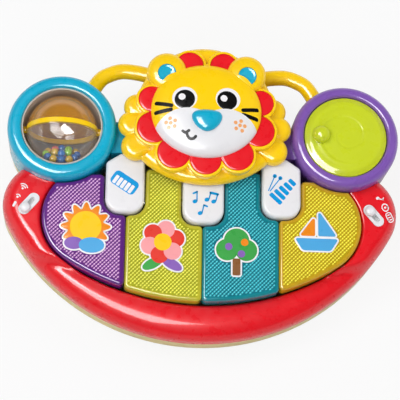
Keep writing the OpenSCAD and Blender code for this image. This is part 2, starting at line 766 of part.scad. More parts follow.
// The head's wall behind the arms, from the base shell up to the mane, with a way through for the handle
module head_skirt() {
    difference() {
        translate([0, tower_y, seam_z]) cylinder(r = skirt_r, h = mane_bottom + cut);
        translate([0, tower_y, seam_z - cut]) cylinder(r = skirt_r - wall, h = mane_bottom + cut);
        translate([-skirt_r - cut, tower_y - skirt_r - cut, seam_z - cut])
            cube([2 * (skirt_r + cut), skirt_from - tower_y + skirt_r + cut, mane_bottom + 2 * cut]);
        translate([0, handle_points[1].y, handle_z]) rotate([0, 90, 0])
            cylinder(r = handle_r + 2, h = 2 * skirt_r + 2 * cut, center = true);
    }
}
module mane_outer() {
    color("gold") {
        translate([0, mane_y, 0])
            loft(lobed_row(on_face(side_lobes, 0), mane_core, mane_brim, mane_z, petal_z, mane_h * 0.85));
        for (p = mane_posts)
            translate([p.x, p.y, mane_z - arm_drop]) cylinder(r = post_r, h = arm_drop + cut);
        head_skirt();
    }
}

// The inner row: yellow rims round one recess, in which the red petals lie as a plate
ear_circles = [for (s = [-1, 1]) [s * ear_at.x, ear_at.y, ear_r]];
row_core = [face_a + 2.5, face_b + 2.5];
recess_core = [face_a + 0.3, face_b + 0.3];
rim_z = face_z + rim_h;
module mane_inner() {
    rims = concat(on_face(petals, petal_rim), ear_circles);
    recess = lobed(on_face(petals, 0), recess_core, recess_core, 0);
    color("gold")
        translate([0, face_y, 0])
            loft(concat(lobed_row(rims, row_core, row_core, petal_z, rim_z, rim_round),
                        [at_height(recess, rim_z), at_height(recess, face_z - petal_t)]));
}
module mane_petals() {
    plate = lobed(on_face(petals, 0), recess_core, recess_core, fit_gap);
    color("crimson")
        translate([0, face_y, 0]) loft([at_height(plate, face_z - petal_t), at_height(plate, face_z)]);
}

// Face: a dome with ears, split along the muzzle's outline
dome_rings = 6;
dome_steps = 48;
dome_foot = 2;
function dome_ring(i) =
    let (a = 90 * i / dome_rings)
    [for (j = [0:dome_steps - 1])
        let (t = 360 * j / dome_steps)
        [face_a * cos(a) * cos(t), face_y + face_b * cos(a) * sin(t),
         face_z + dome_foot + (face_rise - dome_foot) * sin(a)]];
module dome() {
    loft(concat([at_height(dome_ring(0), face_z)],
                [for (i = [0:dome_rings - 1]) dome_ring(i)],
                [dome_ring(dome_rings - 0.2)]));
}
cheek_at = [16, -30.5];
cheek_r = 29;
module muzzle_prism(d) {
    translate([0, face_y, face_z - cut])
        linear_extrude(face_rise + 3 * cut)
            union() {
                for (s = [-1, 1]) translate([s * cheek_at.x, cheek_at.y]) circle(r = cheek_r - d);
                translate([-2 * face_a, -2 * face_b]) square([4 * face_a, 2 * face_b - 18 - d]);
            }
}
inlay_depth = 1.5;
inlay_t = 0.9;
module at_ears() {
    for (s = [-1, 1]) translate([s * ear_at.x, face_y + ear_at.y, rim_z]) children();
}
module lion_face() {
    color("gold")
        union() {
            difference() {
                dome();
                muzzle_prism(0);
            }
            difference() {
                at_ears()
                    rotate_extrude()
                        polygon(concat([[0, 0]],
                            [for (i = [0:6]) [(ear_r - 0.5) * cos(15 * i), ear_rise * sin(15 * i)]]));
                at_ears() translate([0, 0, ear_rise - inlay_depth])
                    cylinder(r = ear_inlay_r, h = inlay_depth + cut);
            }
        }
}
module lion_muzzle() {
    color("white")
        intersection() {
            dome();
            muzzle_prism(fit_gap);
        }
}

function dome_at(x, y) =
    face_z + dome_foot
    + (face_rise - dome_foot) * sqrt(max(0, 1 - pow(x / face_a, 2) - pow((y - face_y) / face_b, 2)));
nose_at = [0, face_y - 10];
nose_size = [12.5, 9, 5];
module lion_nose() {
    z = dome_at(nose_at.x, nose_at.y - nose_size[1]);
    color("deepskyblue")
        difference() {
            translate([nose_at.x, nose_at.y, z + 1]) scale(nose_size) sphere(r = 1, $fn = 32);
            dome();
        }
}
module ear_inlays() {
    color("deepskyblue")
        difference() {
            at_ears() translate([0, 0, ear_rise - inlay_depth])
                cylinder(r = ear_inlay_r - fit_gap, h = inlay_t);
            dome();
        }
}

// Cup behind the ball: it lines the well and stands on the base shell's floor
cup_wall = 1.2;
cup_round = 5;
cup_r = well_r - seat_gap;
cup_in = cup_r - cup_wall;
cup_low = floor_z + seat_gap;
cup_floor = ball_z - ball_r - 6;
cup_top = ring_z - wall - 0.5;
cup_bend = [cup_in - cup_round, cup_floor + cup_wall + cup_round];
module ball_cup() {
    color("tan")
        difference() {
            translate([-ring_x, ring_y, 0])
                rotate_extrude($fn = 96)
                    polygon(concat(
                        [[0, cup_floor], [cup_in, cup_floor], [cup_in, cup_low], [cup_r, cup_low],
                         [cup_r, cup_top], [cup_in, cup_top]],
                        [for (i = [0:3]) cup_bend + polar(cup_round, -30 * i)],
                        [[0, cup_floor + cup_wall]]));
            at_ball() rotate([0, 90, 0]) cylinder(r = stub_r + 0.5, h = 2 * well_r, center = true);
        }
}

// Bead ball: two half shells on a band with stub axles
module at_ball() { translate([-ring_x, ring_y, ball_z]) children(); }
shell_steps = 12;
function shell_arc(r) =
    let (from = asin(band_w / 2 / r))
    [for (i = [0:shell_steps]) polar(r, from + (90 - from) * i / shell_steps)];
function back_to_front(v) = [for (i = [len(v) - 1:-1:0]) v[i]];
module half_shell(side) {
    difference() {
        rotate([side * 90, 0, 0])
            rotate_extrude($fn = 96)
                polygon(concat(shell_arc(ball_r), back_to_front(shell_arc(ball_r - ball_wall))));
        rotate([0, 90, 0]) cylinder(r = stub_r + run_gap, h = 2 * ball_r + 2 * cut, center = true);
    }
}
module ball_half_amber() { color([0.9, 0.6, 0.15, 0.6]) at_ball() half_shell(-1); }
module ball_half_clear() { color([0.9, 0.9, 0.9, 0.4]) at_ball() half_shell(1); }
band_proud = 0.4;
stub_l = 3.5;
module ball_band() {
    color("gold")
        at_ball() {
            difference() {
                rotate([90, 0, 0]) cylinder(r = ball_r + band_proud, h = band_w, center = true, $fn = 96);
                rotate([90, 0, 0])
                    cylinder(r = ball_r - ball_wall - 0.6, h = band_w + 2 * cut, center = true, $fn = 96);
            }
            for (s = [-1, 1])
                rotate([0, s * 90, 0]) translate([0, 0, ball_r - ball_wall])
                    cylinder(r = stub_r, h = well_r + stub_l - ball_r + ball_wall);
        }
}

// Beads heaped on the ball's wall, on the side that is down when the toy is propped up
heap_tilt = 52;
bead_gap = 0.25;
bead_out = ball_r - ball_wall - bead_r - bead_gap;
bead_step = 2 * asin((bead_r + bead_gap) / bead_out);
nest_angle = 0.626 * bead_step;
nest_drop = sqrt(pow(2 * (bead_r + bead_gap), 2) - pow(bead_out * sin(nest_angle), 2));
heap = concat([[bead_out, 0, 0]],
    [for (i = [0:5]) [bead_out, bead_step, 60 * i]],
    [for (i = [0:11]) [bead_out, 2 * bead_step, 30 * i]],
    [for (i = [0:5]) [bead_out * cos(nest_angle) - nest_drop, 1.25 * bead_step, 60 * i + 30]]);
module bead(i) {
    b = heap[i];
    at_ball() rotate([180 - heap_tilt, 0, 0]) rotate(b[2]) rotate([0, b[1], 0])
        translate([0, 0, b[0]]) sphere(r = bead_r);
}
blue_beads = [0, 2, 3, 7, 8, 10, 12, 15, 17, 20, 23];
yellow_beads = [1, 5, 9, 11, 14, 18, 21];
green_beads = [4, 13, 19, 24];
red_beads = [6, 16, 22];
module beads_blue() { color("midnightblue") for (i = blue_beads) bead(i); }
module beads_yellow() { color("orange") for (i = yellow_beads) bead(i); }
module beads_green() { color("limegreen") for (i = green_beads) bead(i); }
module beads_red() { color("tomato") for (i = red_beads) bead(i); }

// Dial: a crowned disc with a finger knob, on a shaft with a ratchet wheel
module at_dial() { translate([ring_x, ring_y, 0]) children(); }
shaft_drop = 16;
shaft_low = dial_floor - shaft_drop;
module dial_disc() {
    color("yellowgreen")
        at_dial() {
            rotate_extrude($fn = 96)
                polygon(concat([[0, disc_low], [disc_r - 1.5, disc_low]],
                    [for (i = [0:3]) [disc_r - 1.5, disc_low + disc_h - 1.5] + polar(1.5, 30 * i)],
                    [for (i = [1:6])
                        let (k = 1 - i / 6)
                        [(disc_r - 1.5) * k, disc_low + disc_h + disc_crown * (1 - k * k)]]));
            translate([0, 0, shaft_low]) cylinder(r = shaft_r, h = disc_low - shaft_low + cut);
            translate([-knob_x, 0, disc_low + disc_h]) rotate_extrude()
                polygon(concat([[0, -1], [knob_r * 0.85, -1], [knob_r * 0.85, 2]],
                    [for (i = [0:6]) [0, 2.5] + polar(knob_r, 15 * i)]));
        }
}
ratchet_r = shaft_r + 7;
tooth_h = 2.5;
ratchet_h = 5;
ratchet_z = dial_floor - 5 - 0.5 - ratchet_h;
module ratchet_wheel() {
    color("whitesmoke")
        at_dial()
            difference() {
                translate([0, 0, ratchet_z])
                    linear_extrude(ratchet_h)
                        polygon([for (i = [0:ratchet_teeth - 1], k = [0, 1, 2])
                            polar(k == 1 ? ratchet_r : ratchet_r - tooth_h,
                                  360 * (i + 0.45 * k) / ratchet_teeth)]);
                cylinder(r = shaft_r, h = 2 * ring_z);
            }
}
module ratchet_screw() {
    color("silver")
        at_dial() translate([0, 0, shaft_low - 2.5]) cylinder(r = shaft_r + 1.5, h = 2.5);
}
spring_h = 4;
spring_t = 0.8;
module click_spring() {
    color("silver")
        at_dial() {
            translate([ratchet_r + 0.4, -9, ratchet_z + 0.5]) cube([spring_t, 18, spring_h]);
            translate([ratchet_r + 0.4, 6, ratchet_z + 0.5]) cube([4, 5, dial_floor - ratchet_z - 0.5]);
        }
}

// Slide switches: bezel in the wing, knob through its slot, switch body below
slot_l = slide_travel + slot_w;
module slide_bezel(side) {
    color("white")
        at_slide(side)
            difference() {
                translate([0, 0, bezel_low]) oval(bezel_l, bezel_w, bezel_h);
                translate([0, 0, -bezel_h - cut]) oval(slot_l, slot_w, bezel_h + 3 * cut);
            }
}
switch_h = 6;
module slide_switch(side) {
    color("dimgray")
        at_slide(side)
            difference() {
                translate([0, 0, bezel_low - switch_h]) oval(bezel_l, bezel_w, switch_h);
                translate([0, 0, bezel_low - switch_h + 2]) oval(slot_l, slot_w, switch_h);
            }
}
knob_rise = 4;
stem_clear = 0.3;
module slide_knob(side) {
    color("white")
        at_slide(side)
            translate([-slide_travel / 2, 0, 0]) {
                translate([0, 0, bezel_proud + seat_gap]) rotate_extrude()
                    polygon(concat([[0, 0], [slide_r, 0]],
                        [for (i = [0:6]) [slide_r * cos(15 * i), 1 + (knob_rise - 1) * sin(15 * i)]]));
                translate([0, 0, -bezel_h - 1.5]) cylinder(r = slot_w / 2 - stem_clear, h = bezel_h + 2.5);
            }
}
module volume_bezel() { slide_bezel(-1); }
module volume_switch() { slide_switch(-1); }
module volume_knob() { slide_knob(-1); }
module mode_bezel() { slide_bezel(1); }
module mode_switch() { slide_switch(1); }
module mode_knob() { slide_knob(1); }

// Electronics on the base shell
board_x = key_end_x + 16.5;
board_side = [[board_x - 26, -78], [board_x, -50], [board_x, -20], [ring_x - 34, 16]];
led_behind = 18;
key_middles = [for (s = [-1, 1], span = [outer_span, inner_span]) s * (span[0] + span[1]) / 2];
dome_places = concat([for (x = key_middles) [x, plunger_y]],
                     [[-button_x, stem_y], [0, middle_stem_y], [button_x, stem_y]]);
led_places = [for (x = key_middles) [x, plunger_y + led_behind]];
module main_board() {
    color("darkgreen")
        translate([0, 0, board_z])
            linear_extrude(board_h)
                difference() {
                    polygon(concat(board_side, flip(board_side)));
                    for (x = post_places)
                        translate([x - post_w / 2 - 1, rod_y - lug_r - 1])
                            square([post_w + 2, 2 * lug_r + 2]);
                    for (s = [-1, 1]) translate([s * guide_leg.x, guide_leg.y]) circle(r = 4);
                }
}
module contact_domes() {
    color("dimgray")
        for (p = dome_places) translate([p.x, p.y, board_z + board_h]) cylinder(r1 = 5, r2 = 3, h = dome_h);
}
module key_leds() {
    color("white")
        for (p = led_places) translate([p.x, p.y, board_z + board_h]) {
            cylinder(r = 2.5, h = 3);
            translate([0, 0, 3]) sphere(r = 2.5);
        }
}

// Speaker behind the grille
cone_h = 5;
module at_speaker() { translate([speaker_at.x, speaker_at.y, floor_z]) children(); }
module speaker_frame() {
    color("dimgray")
        at_speaker() rotate_extrude()
            polygon([[speaker_r - 4, 0], [speaker_r, 0], [speaker_r, 1.5], [speaker_r - 3, 1.5], [13, 8],
                     [10, 8], [10, 6.8], [12.4, 6.8], [speaker_r - 4, 1]]);
}
module speaker_cone() {
    color("black")
        at_speaker() rotate_extrude()
            polygon([[0, cone_h - 2], [6, cone_h], [speaker_r - 4.2, 0.2], [speaker_r - 4.2, 1],
                     [6, cone_h + 0.8], [0, cone_h - 1.2]]);
}
module speaker_magnet() {
    color("silver")
        at_speaker() translate([0, 0, 8]) cylinder(r = 12, h = 6);
}

// Batteries, their contacts, the door and the fasteners in the back
cell_z = foot_h + door_h + cell_r + 0.8;
function cell_y(i) = bay_y + (i - (cell_count - 1) / 2) * cell_pitch;
module batteries() {
    color("silver")
        for (i = [0:cell_count - 1])
            translate([-cell_l / 2, cell_y(i), cell_z]) rotate([0, 90, 0]) {
                cylinder(r = cell_r, h = cell_l - 1);
                cylinder(r = 2.7, h = cell_l);
            }
}
contact_t = 0.6;
module battery_contacts() {
    color("gainsboro")
        for (s = [-1, 1], i = [0:cell_count - 1])
            translate([s * (bay_l / 2 - contact_t / 2 - 0.05), cell_y(i), cell_z])
                rotate([0, -s * 90, 0]) {
                    cube([10, 10, contact_t], center = true);
                    cylinder(r1 = 5, r2 = 2.5, h = (bay_l - cell_l) / 2 - contact_t / 2 - 0.4);
                }
}
module battery_door() {
    color("wheat")
        difference() {
            translate([-bay_l / 2 - door_lap + 0.3, bay_y - bay_w / 2 - door_lap + 0.3, foot_h])
                cube([bay_l + 2 * door_lap - 0.6, bay_w + 2 * door_lap - 0.6, door_h - 1.1]);
            translate([door_screw.x, door_screw.y, foot_h - cut])
                cylinder(r = screw_r + run_gap, h = door_h + 2 * cut);
        }
}
module battery_door_screw() {
    color("silver")
        translate([door_screw.x, door_screw.y, foot_h - door_head_h]) {
            cylinder(r = screw_r + 0.7, h = door_head_h);
            cylinder(r = screw_r, h = door_head_h + door_screw_l);
        }
}
module case_screws() {
    color("silver")
        for (p = screw_places)
            translate([p.x, p.y, foot_h + screw_sink]) {
                cylinder(r = screw_head_r, h = head_h);
                cylinder(r = screw_r, h = base_h - screw_sink + screw_bite);
            }
}
module rubber_feet() {
    color("dimgray")
        for (p = foot_places) translate([p.x, p.y, 0]) rotate_extrude()
            polygon([[0, 0], [foot_r - 1, 0], [foot_r, 1],
                     [foot_r, foot_h + foot_sink], [0, foot_h + foot_sink]]);
}

base_shell();
front_case();
ball_ring();
dial_ring();
handle();
key_outer_left();
key_inner_left();
key_inner_right();
key_outer_right();
carrier_outer_left();
carrier_inner_left();
carrier_inner_right();
carrier_outer_right();
pivot_rod();
button_left();
button_middle();
button_right();
button_guide();
mane_outer();
mane_inner();
mane_petals();
lion_face();
lion_muzzle();
lion_nose();
ear_inlays();
ball_cup();
ball_half_amber();
ball_half_clear();
ball_band();
beads_blue();
beads_yellow();
beads_green();
beads_red();
dial_disc();
ratchet_wheel();
ratchet_screw();
click_spring();
volume_bezel();
volume_knob();
volume_switch();
mode_bezel();
mode_knob();
mode_switch();
main_board();
contact_domes();
key_leds();
speaker_frame();
speaker_cone();
speaker_magnet();
batteries();
battery_contacts();
battery_door();
battery_door_screw();
case_screws();
rubber_feet();
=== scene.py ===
from math import acos, asin, atan2, copysign, cos, hypot, pi, radians, sin, sqrt, tan, tau

import bmesh
import bpy
from mathutils import Matrix, Vector


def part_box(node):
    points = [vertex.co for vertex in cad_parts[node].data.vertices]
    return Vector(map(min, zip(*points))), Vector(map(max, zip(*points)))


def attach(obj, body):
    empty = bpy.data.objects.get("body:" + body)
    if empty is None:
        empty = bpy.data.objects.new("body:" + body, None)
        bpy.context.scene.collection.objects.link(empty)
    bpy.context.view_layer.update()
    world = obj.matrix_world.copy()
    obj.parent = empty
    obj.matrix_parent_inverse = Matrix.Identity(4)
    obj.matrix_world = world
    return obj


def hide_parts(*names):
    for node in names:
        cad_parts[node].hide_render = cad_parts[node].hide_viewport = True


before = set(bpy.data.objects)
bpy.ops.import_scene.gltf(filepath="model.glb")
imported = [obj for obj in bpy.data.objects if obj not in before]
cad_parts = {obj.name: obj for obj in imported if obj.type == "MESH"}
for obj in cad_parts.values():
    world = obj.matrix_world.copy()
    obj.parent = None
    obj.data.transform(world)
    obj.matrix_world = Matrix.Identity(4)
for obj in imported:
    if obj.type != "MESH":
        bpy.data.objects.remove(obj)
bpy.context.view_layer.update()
scene = bpy.context.scene
scene.view_settings.view_transform = "Standard"

# Sizes in millimetres, as the frame has them; meshes are made in metres
MM = 0.001
SEAM_Z = 18
RAIL_Z = 40
WING_Z = 48
KEY_Z = 52
BUTTON_Z = 56.5
RING_Z = 62
MANE_Z = 58
PETAL_Z = 66
FACE_Z = 72
HANDLE_Z = 42
WALL = 2.5
CASE_W = 330
CASE_FRONT = 123.5
WING_RISE = 111.5
WING_R = 36
WING_ROUND = 14
RAIL_ROUND = 20
RING_AT = (118, 47.5)
RING_R = 45
SEAT_GAP = 0.2
SIDES = ((-1, "left"), (1, "right"))
CORNERS = ((-1, -1), (1, -1), (1, 1), (-1, 1))
PATH_STEPS = 8


# Plane geometry
def polar(r, a, c=(0, 0)):
    return (c[0] + r * cos(a), c[1] + r * sin(a))


def arc(c, r, a, b, n):
    return [polar(r, a + (b - a) * i / n, c) for i in range(n + 1)]


def quarter(n, first=0, short=0):
    """Angles up to a right angle in n steps; a short last step leaves a dome's top open."""
    return [pi / 2 * min(i, n - short) / n for i in range(first, n + 1)]


def smooth(t):
    t = min(1, max(0, t))
    return t * t * (3 - 2 * t)


def on_side(side, p):
    return (side * p[0], p[1])


def flip(points):
    """Points mirrored left to right and reversed, so that an outline still runs anticlockwise."""
    return [(-p[0],) + p[1:] for p in reversed(points)]


def turned(p, c, turn):
    x, y = p
    return (c[0] + x * cos(turn) - y * sin(turn), c[1] + x * sin(turn) + y * cos(turn))


def disc(c, rx, ry=None, turn=0, n=48):
    ry = ry or rx
    return [turned((rx * cos(tau * i / n), ry * sin(tau * i / n)), c, turn) for i in range(n)]


def inset(points, d):
    """The closed outline moved inwards by d; its points run anticlockwise."""
    out = []
    for i, q in enumerate(points):
        q = Vector(q)
        a = (q - Vector(points[i - 1])).normalized()
        b = (Vector(points[(i + 1) % len(points)]) - q).normalized()
        a, b = Vector((-a.y, a.x)), Vector((-b.y, b.x))
        out.append(tuple(q + d * (a + b) / (1 + a.dot(b))))
    return out


def rounded(corners, n=8):
    """A closed path of (x, y, radius) corners as points; a radius of 0 keeps the corner."""
    out = []
    for i, (x, y, r) in enumerate(corners):
        q = Vector((x, y))
        if not r:
            out.append((x, y))
            continue
        u = (Vector(corners[i - 1][:2]) - q).normalized()
        v = (Vector(corners[(i + 1) % len(corners)][:2]) - q).normalized()
        half = acos(max(-1, min(1, u.dot(v)))) / 2
        c = q + (u + v).normalized() * r / sin(half)
        start = q + u * r / tan(half) - c
        end = q + v * r / tan(half) - c
        turn = copysign(pi - 2 * half, start.x * end.y - start.y * end.x)
        first = atan2(start.y, start.x)
        out += [polar(r, first + turn * k / n, c) for k in range(n + 1)]
    return out


def rounded_box(c, w, h, r, turn=0):
    corners = [(i * w / 2, j * h / 2, r) for i, j in CORNERS]
    return [turned(p, c, turn) for p in rounded(corners, 5)]


def inside(p, points):
    hit = False
    for (ax, ay), (bx, by) in zip(points, points[1:] + points[:1]):
        if (ay > p[1]) != (by > p[1]) and p[0] < (bx - ax) * (p[1] - ay) / (by - ay) + ax:
            hit = not hit
    return hit


def bend(a, b, bulge=0):
    """Points from a to b, on a line that bows to the left of its way."""
    dx, dy = b[0] - a[0], b[1] - a[1]
    k = bulge / hypot(dx, dy)
    steps = [(i / PATH_STEPS, k * sin(pi * i / PATH_STEPS)) for i in range(PATH_STEPS + 1)]
    return [(a[0] + dx * t - dy * s, a[1] + dy * t + dx * s) for t, s in steps]


def curved(points):
    """A smooth path through points."""
    p = [points[0]] + list(points) + [points[-1]]
    out = []
    for i in range(1, len(p) - 2):
        for t in [k / PATH_STEPS for k in range(PATH_STEPS)]:
            out.append(tuple(0.5 * (2 * b + (c - a) * t + (2 * a - 5 * b + 4 * c - d) * t * t
                                    + (3 * b - a - 3 * c + d) * t ** 3)
                             for a, b, c, d in zip(p[i - 1], p[i], p[i + 1], p[i + 2])))
    return out + [tuple(points[-1])]


def at(points, z):
    return [(p[0], p[1], z) for p in points]


def flat(z):
    return lambda x, y: z


# Meshes
def loft(rings):
    """Faces through rings of points, with a cap at both ends."""
    n, m = len(rings[0]), len(rings)
    faces = []
    for j in range(m - 1):
        k = j + 1
        faces += [(j * n + i, j * n + (i + 1) % n, k * n + (i + 1) % n, k * n + i) for i in range(n)]
    faces += [tuple(range(n - 1, -1, -1)), tuple(range((m - 1) * n, m * n))]
    return [p for r in rings for p in r], faces


def rolled(edge, r, top, n):
    """Rings of a rounded top edge; edge gives the outline, moved inwards by a distance."""
    return [at(edge(r * (1 - cos(a))), top - r * (1 - sin(a))) for a in quarter(n)]


def prism(points, low, high):
    return loft([at(points, low), at(points, high)])


def join(parts):
    """Several (verts, faces) as one."""
    verts, faces = [], []
    for v, f in parts:
        faces += [tuple(i + len(verts) for i in face) for face in f]
        verts += v
    return verts, faces


def to_mesh(name, verts, faces):
    mesh = bpy.data.meshes.new(name)
    mesh.from_pydata([(x * MM, y * MM, z * MM) for x, y, z in verts], [], faces)
    bm = bmesh.new()
    bm.from_mesh(mesh)
    bmesh.ops.remove_doubles(bm, verts=bm.verts, dist=1e-7)
    bmesh.ops.recalc_face_normals(bm, faces=bm.faces)
    bm.to_mesh(mesh)
    bm.free()
    return mesh


def new_object(name, data):
    obj = bpy.data.objects.new(name, data)
    scene.collection.objects.link(obj)
    return obj


def carve(mesh, cutters, operation="DIFFERENCE"):
    """The mesh after exact booleans with closed (verts, faces) cutters."""
    body = new_object("body", mesh)
    for verts, faces in cutters:
        step = body.modifiers.new("cut", "BOOLEAN")
        step.operation, step.solver = operation, "EXACT"
        step.object = new_object("tool", to_mesh("tool", verts, faces))
    graph = bpy.context.evaluated_depsgraph_get()
    done = bpy.data.meshes.new_from_object(body.evaluated_get(graph))
    for obj in [step.object for step in body.modifiers] + [body]:
        bpy.data.objects.remove(obj)
    return done


def piece(name, mesh, look, slot, *nodes, body="case", sharp=35):
    """An object of a mesh, or of (verts, faces), that rides on a body and may stand for nodes."""
    if isinstance(mesh, tuple):
        mesh = to_mesh(name, *mesh)
    mesh.name = name
    mesh.materials.clear()
    mesh.materials.append(look)
    mesh.shade_smooth()
    mesh.set_sharp_from_angle(angle=radians(sharp))
    obj = new_object(name, mesh)
    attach(obj, body)
    if nodes:
        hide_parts(*nodes)
    return obj


# Prints: thin plates and ribbons that follow a surface, let into it by their depth
PRINT_DEPTH = 0.3
PRINT_LIFT = 0.1
EDGE_LIFT, EDGE_SHARE, PEAK_SHARE = 0.6, 0.985, 0.02


def patch(outline, surface, lift=PRINT_LIFT, depth=PRINT_DEPTH, rings=5):
    """A plate of star-shaped outline, its top at lift above the surface and its edge lower."""
    cx = sum(p[0] for p in outline) / len(outline)
    cy = sum(p[1] for p in outline) / len(outline)

    def ring(k, z):
        points = [(cx + (x - cx) * k, cy + (y - cy) * k) for x, y in outline]
        return [(x, y, surface(x, y) + z) for x, y in points]
    shares = [1 - i / rings for i in range(rings)] + [PEAK_SHARE]
    return loft([ring(1, -depth), ring(1, lift * EDGE_LIFT)] + [ring(EDGE_SHARE * k, lift) for k in shares])


def stroke(points, width, surface, lift=PRINT_LIFT):
    """A ribbon with round ends along a path."""
    left, right = [], []
    for i, p in enumerate(points):
        a, b = points[max(0, i - 1)], points[min(len(points) - 1, i + 1)]
        turn = atan2(b[1] - a[1], b[0] - a[0]) + pi / 2
        left.append(polar(width / 2, turn, p))
        right.append(polar(-width / 2, turn, p))

    def round_end(p, q):
        start = atan2(p[1] - q[1], p[0] - q[0])
        c = ((p[0] + q[0]) / 2, (p[1] + q[1]) / 2)
        return arc(c, width / 2, start, start - pi, 8)[1:-1]
    end = round_end(left[-1], right[-1])
    outline = left + end + right[::-1] + round_end(right[0], left[0])
    n, m, first_right = len(outline), len(left), 2 * len(left) + len(end) - 1
    faces = [(n + i, n + (i + 1) % n, (i + 1) % n, i) for i in range(n)]
    faces += [(i, i + 1, first_right - i - 1, first_right - i) for i in range(m - 1)]
    faces += [tuple(range(m - 1, m + len(end) + 1)), tuple(range(first_right, n)) + (0,)]
    return [(x, y, surface(x, y) + z) for z in (lift, -PRINT_DEPTH) for x, y in outline], faces


# Materials: most of a noise texture's values lie in this span
NOISE_SPAN = (0.3, 0.7)
EDGE_POWER = 3


def colour(code, share):
    """A colour code as linear light, times a share."""
    parts = [int(code[i:i + 2], 16) / 255 for i in (1, 3, 5)]
    linear = [c / 12.92 if c <= 0.04045 else ((c + 0.055) / 1.055) ** 2.4 for c in parts]
    return tuple(min(1, v * share) for v in linear) + (1,)


def fill(node, *feeds, **values):
    """Feeds go to a node's inputs in order, values to the inputs or settings that they name."""
    named = list(zip(node.inputs, feeds))
    for key, value in values.items():
        if hasattr(node, key):
            setattr(node, key, value)
        else:
            named.append((node.inputs[key.replace("_", " ")], value))
    for socket, value in named:
        if isinstance(value, bpy.types.NodeSocket):
            node.id_data.links.new(value, socket)
        else:
            socket.default_value = value
    return node


def add(tree, kind, *feeds, **values):
    return fill(tree.nodes.new(kind), *feeds, **values)


def tree_of(owner):
    owner.use_nodes = True
    return owner.node_tree


def mapped(tree, value, *ends):
    """A value mapped from one range to another."""
    return add(tree, "ShaderNodeMapRange", value, *ends).outputs["Result"]


def combine(tree, operation, a, b):
    return add(tree, "ShaderNodeMath", a, b, operation=operation).outputs[0]


def skin(name, code, drift, gloss, bumps, **values):
    """A material of drifting colour, uneven gloss and fine bumps.

    Each starts with the scale and detail of its noise. Then come the ends of the colour's share or of the
    roughness, or the distance and strength of the bumps."""
    material = bpy.data.materials.new(name)
    tree = tree_of(material)
    place = add(tree, "ShaderNodeTexCoord").outputs["Object"]

    def noise(scale, detail, *ends):
        return add(tree, "ShaderNodeTexNoise", place, Scale=scale, Detail=detail).outputs["Fac"]
    tones = add(tree, "ShaderNodeValToRGB", noise(*drift))
    for end, share, position in zip(tones.color_ramp.elements, drift[2:], NOISE_SPAN):
        end.color = colour(code, share)
        end.position = position
    level = mapped(tree, noise(*gloss), *NOISE_SPAN, *gloss[2:])
    bump = add(tree, "ShaderNodeBump", Height=noise(*bumps), Distance=bumps[2], Strength=bumps[3])
    fill(tree.nodes["Principled BSDF"], Base_Color=tones.outputs["Color"], Roughness=level,
         Normal=bump.outputs["Normal"], **values)
    return material


def plastic(name, code, rough=0.3, vary=0.05, peel=0.00001, coat=0.8):
    """Glossy moulded plastic: slight colour drift, uneven gloss and a fine orange-peel skin."""
    return skin(name, code, (28, 2, 1 - vary, 1 + vary), (160, 4, rough * 0.75, rough * 1.35),
                (700, 3, peel, 0.5), IOR=1.5, Specular_IOR_Level=0.2, Coat_Weight=coat, Coat_Roughness=0.05)


def clear(name, code, alpha, edge):
    """See-through moulded plastic with faint flow lines, denser where it is seen edge-on; there its pale
    colour also shows as a painted sheen that stands in for the rim's reflections.
    """
    material = skin(name, code, (45, 3, 0.94, 1.04), (120, 3, 0.08, 0.2), (60, 2, 0.00004, 0.25),
                    IOR=1.5, Alpha=alpha, Coat_Weight=1.0, Coat_Roughness=0.03, Coat_IOR=2.2)
    tree = material.node_tree
    # Alpha rises where the shell is seen edge-on: thicker plastic there, and a painted sheen of the pale
    # colour in place of reflections
    steep = combine(tree, "POWER", add(tree, "ShaderNodeLayerWeight").outputs["Facing"], EDGE_POWER)
    fill(tree.nodes["Principled BSDF"], Alpha=mapped(tree, steep, 0, 1, alpha, edge))
    return material


def metal(name, code, rough=0.3):
    """Drawn or stamped metal with fine scratches."""
    return skin(name, code, (300, 4, 0.85, 1.05), (500, 4, rough * 0.7, rough * 1.5),
                (1500, 2, 0.00002, 0.5), Metallic=1.0)


def key_plastic(name, code, gloss):
    """Tinted plastic of the keys; gloss is 1 for their smooth border, or 0."""
    return skin(name, code, (60, 3, 0.92, 1.06), (200, 3, 0.4 - 0.28 * gloss, 0.5 - 0.26 * gloss),
                (700, 2, 0.00001, 0.5), IOR=1.5, Specular_IOR_Level=0.1 + 0.3 * gloss,
                Coat_Weight=0.4 * gloss, Coat_Roughness=0.05)


red = plastic("red_gloss", "#E8101F", vary=0.02, coat=0.5)
blue = plastic("blue_gloss", "#00ABCE", vary=0.03)
purple = plastic("purple_gloss", "#7F56B0", vary=0.03)
yellow = plastic("yellow_gloss", "#FFD000", vary=0.02)
face_yellow = plastic("yellow_face", "#FFD000", vary=0.02, coat=0.15)
white = plastic("white_gloss", "#E6E5E8", vary=0.02, coat=0.15)
pale = plastic("pale_plastic", "#FBFBFB", vary=0.01, coat=0.1)
lime = plastic("lime_gloss", "#CAD722", vary=0.02)
cream = plastic("cream_satin", "#DCC88E", 0.4, peel=0.00003, coat=0.1)
inner = plastic("inner_plastic", "#E4E2DC", 0.45, coat=0.1)
liner = plastic("well_liner", "#C9BFB4", 0.35, vary=0.02, coat=0.3)
black = plastic("black_plastic", "#1B1B1D", 0.4, 0.2, coat=0.1)
rubber = plastic("rubber", "#3A3A3C", 0.7, 0.15, 0.00008, 0)
board = plastic("board_green", "#145A32", 0.4, 0.2, coat=0.3)
amber = clear("amber_clear", "#DB961F", 0.46, 0.8)
glass = clear("clear_plastic", "#E4E0E0", 0.07, 0.6)
steel = metal("steel", "#B8B8BA")
cell = metal("cell_jacket", "#8E9094", 0.35)

BEAD_TONES = {"blue": "#2080DC", "yellow": "#FFD24C", "green": "#B4FA58", "red": "#FF8482"}
bead_looks = {tone: plastic("bead_" + tone, code, 0.18, 0.08) for tone, code in BEAD_TONES.items()}

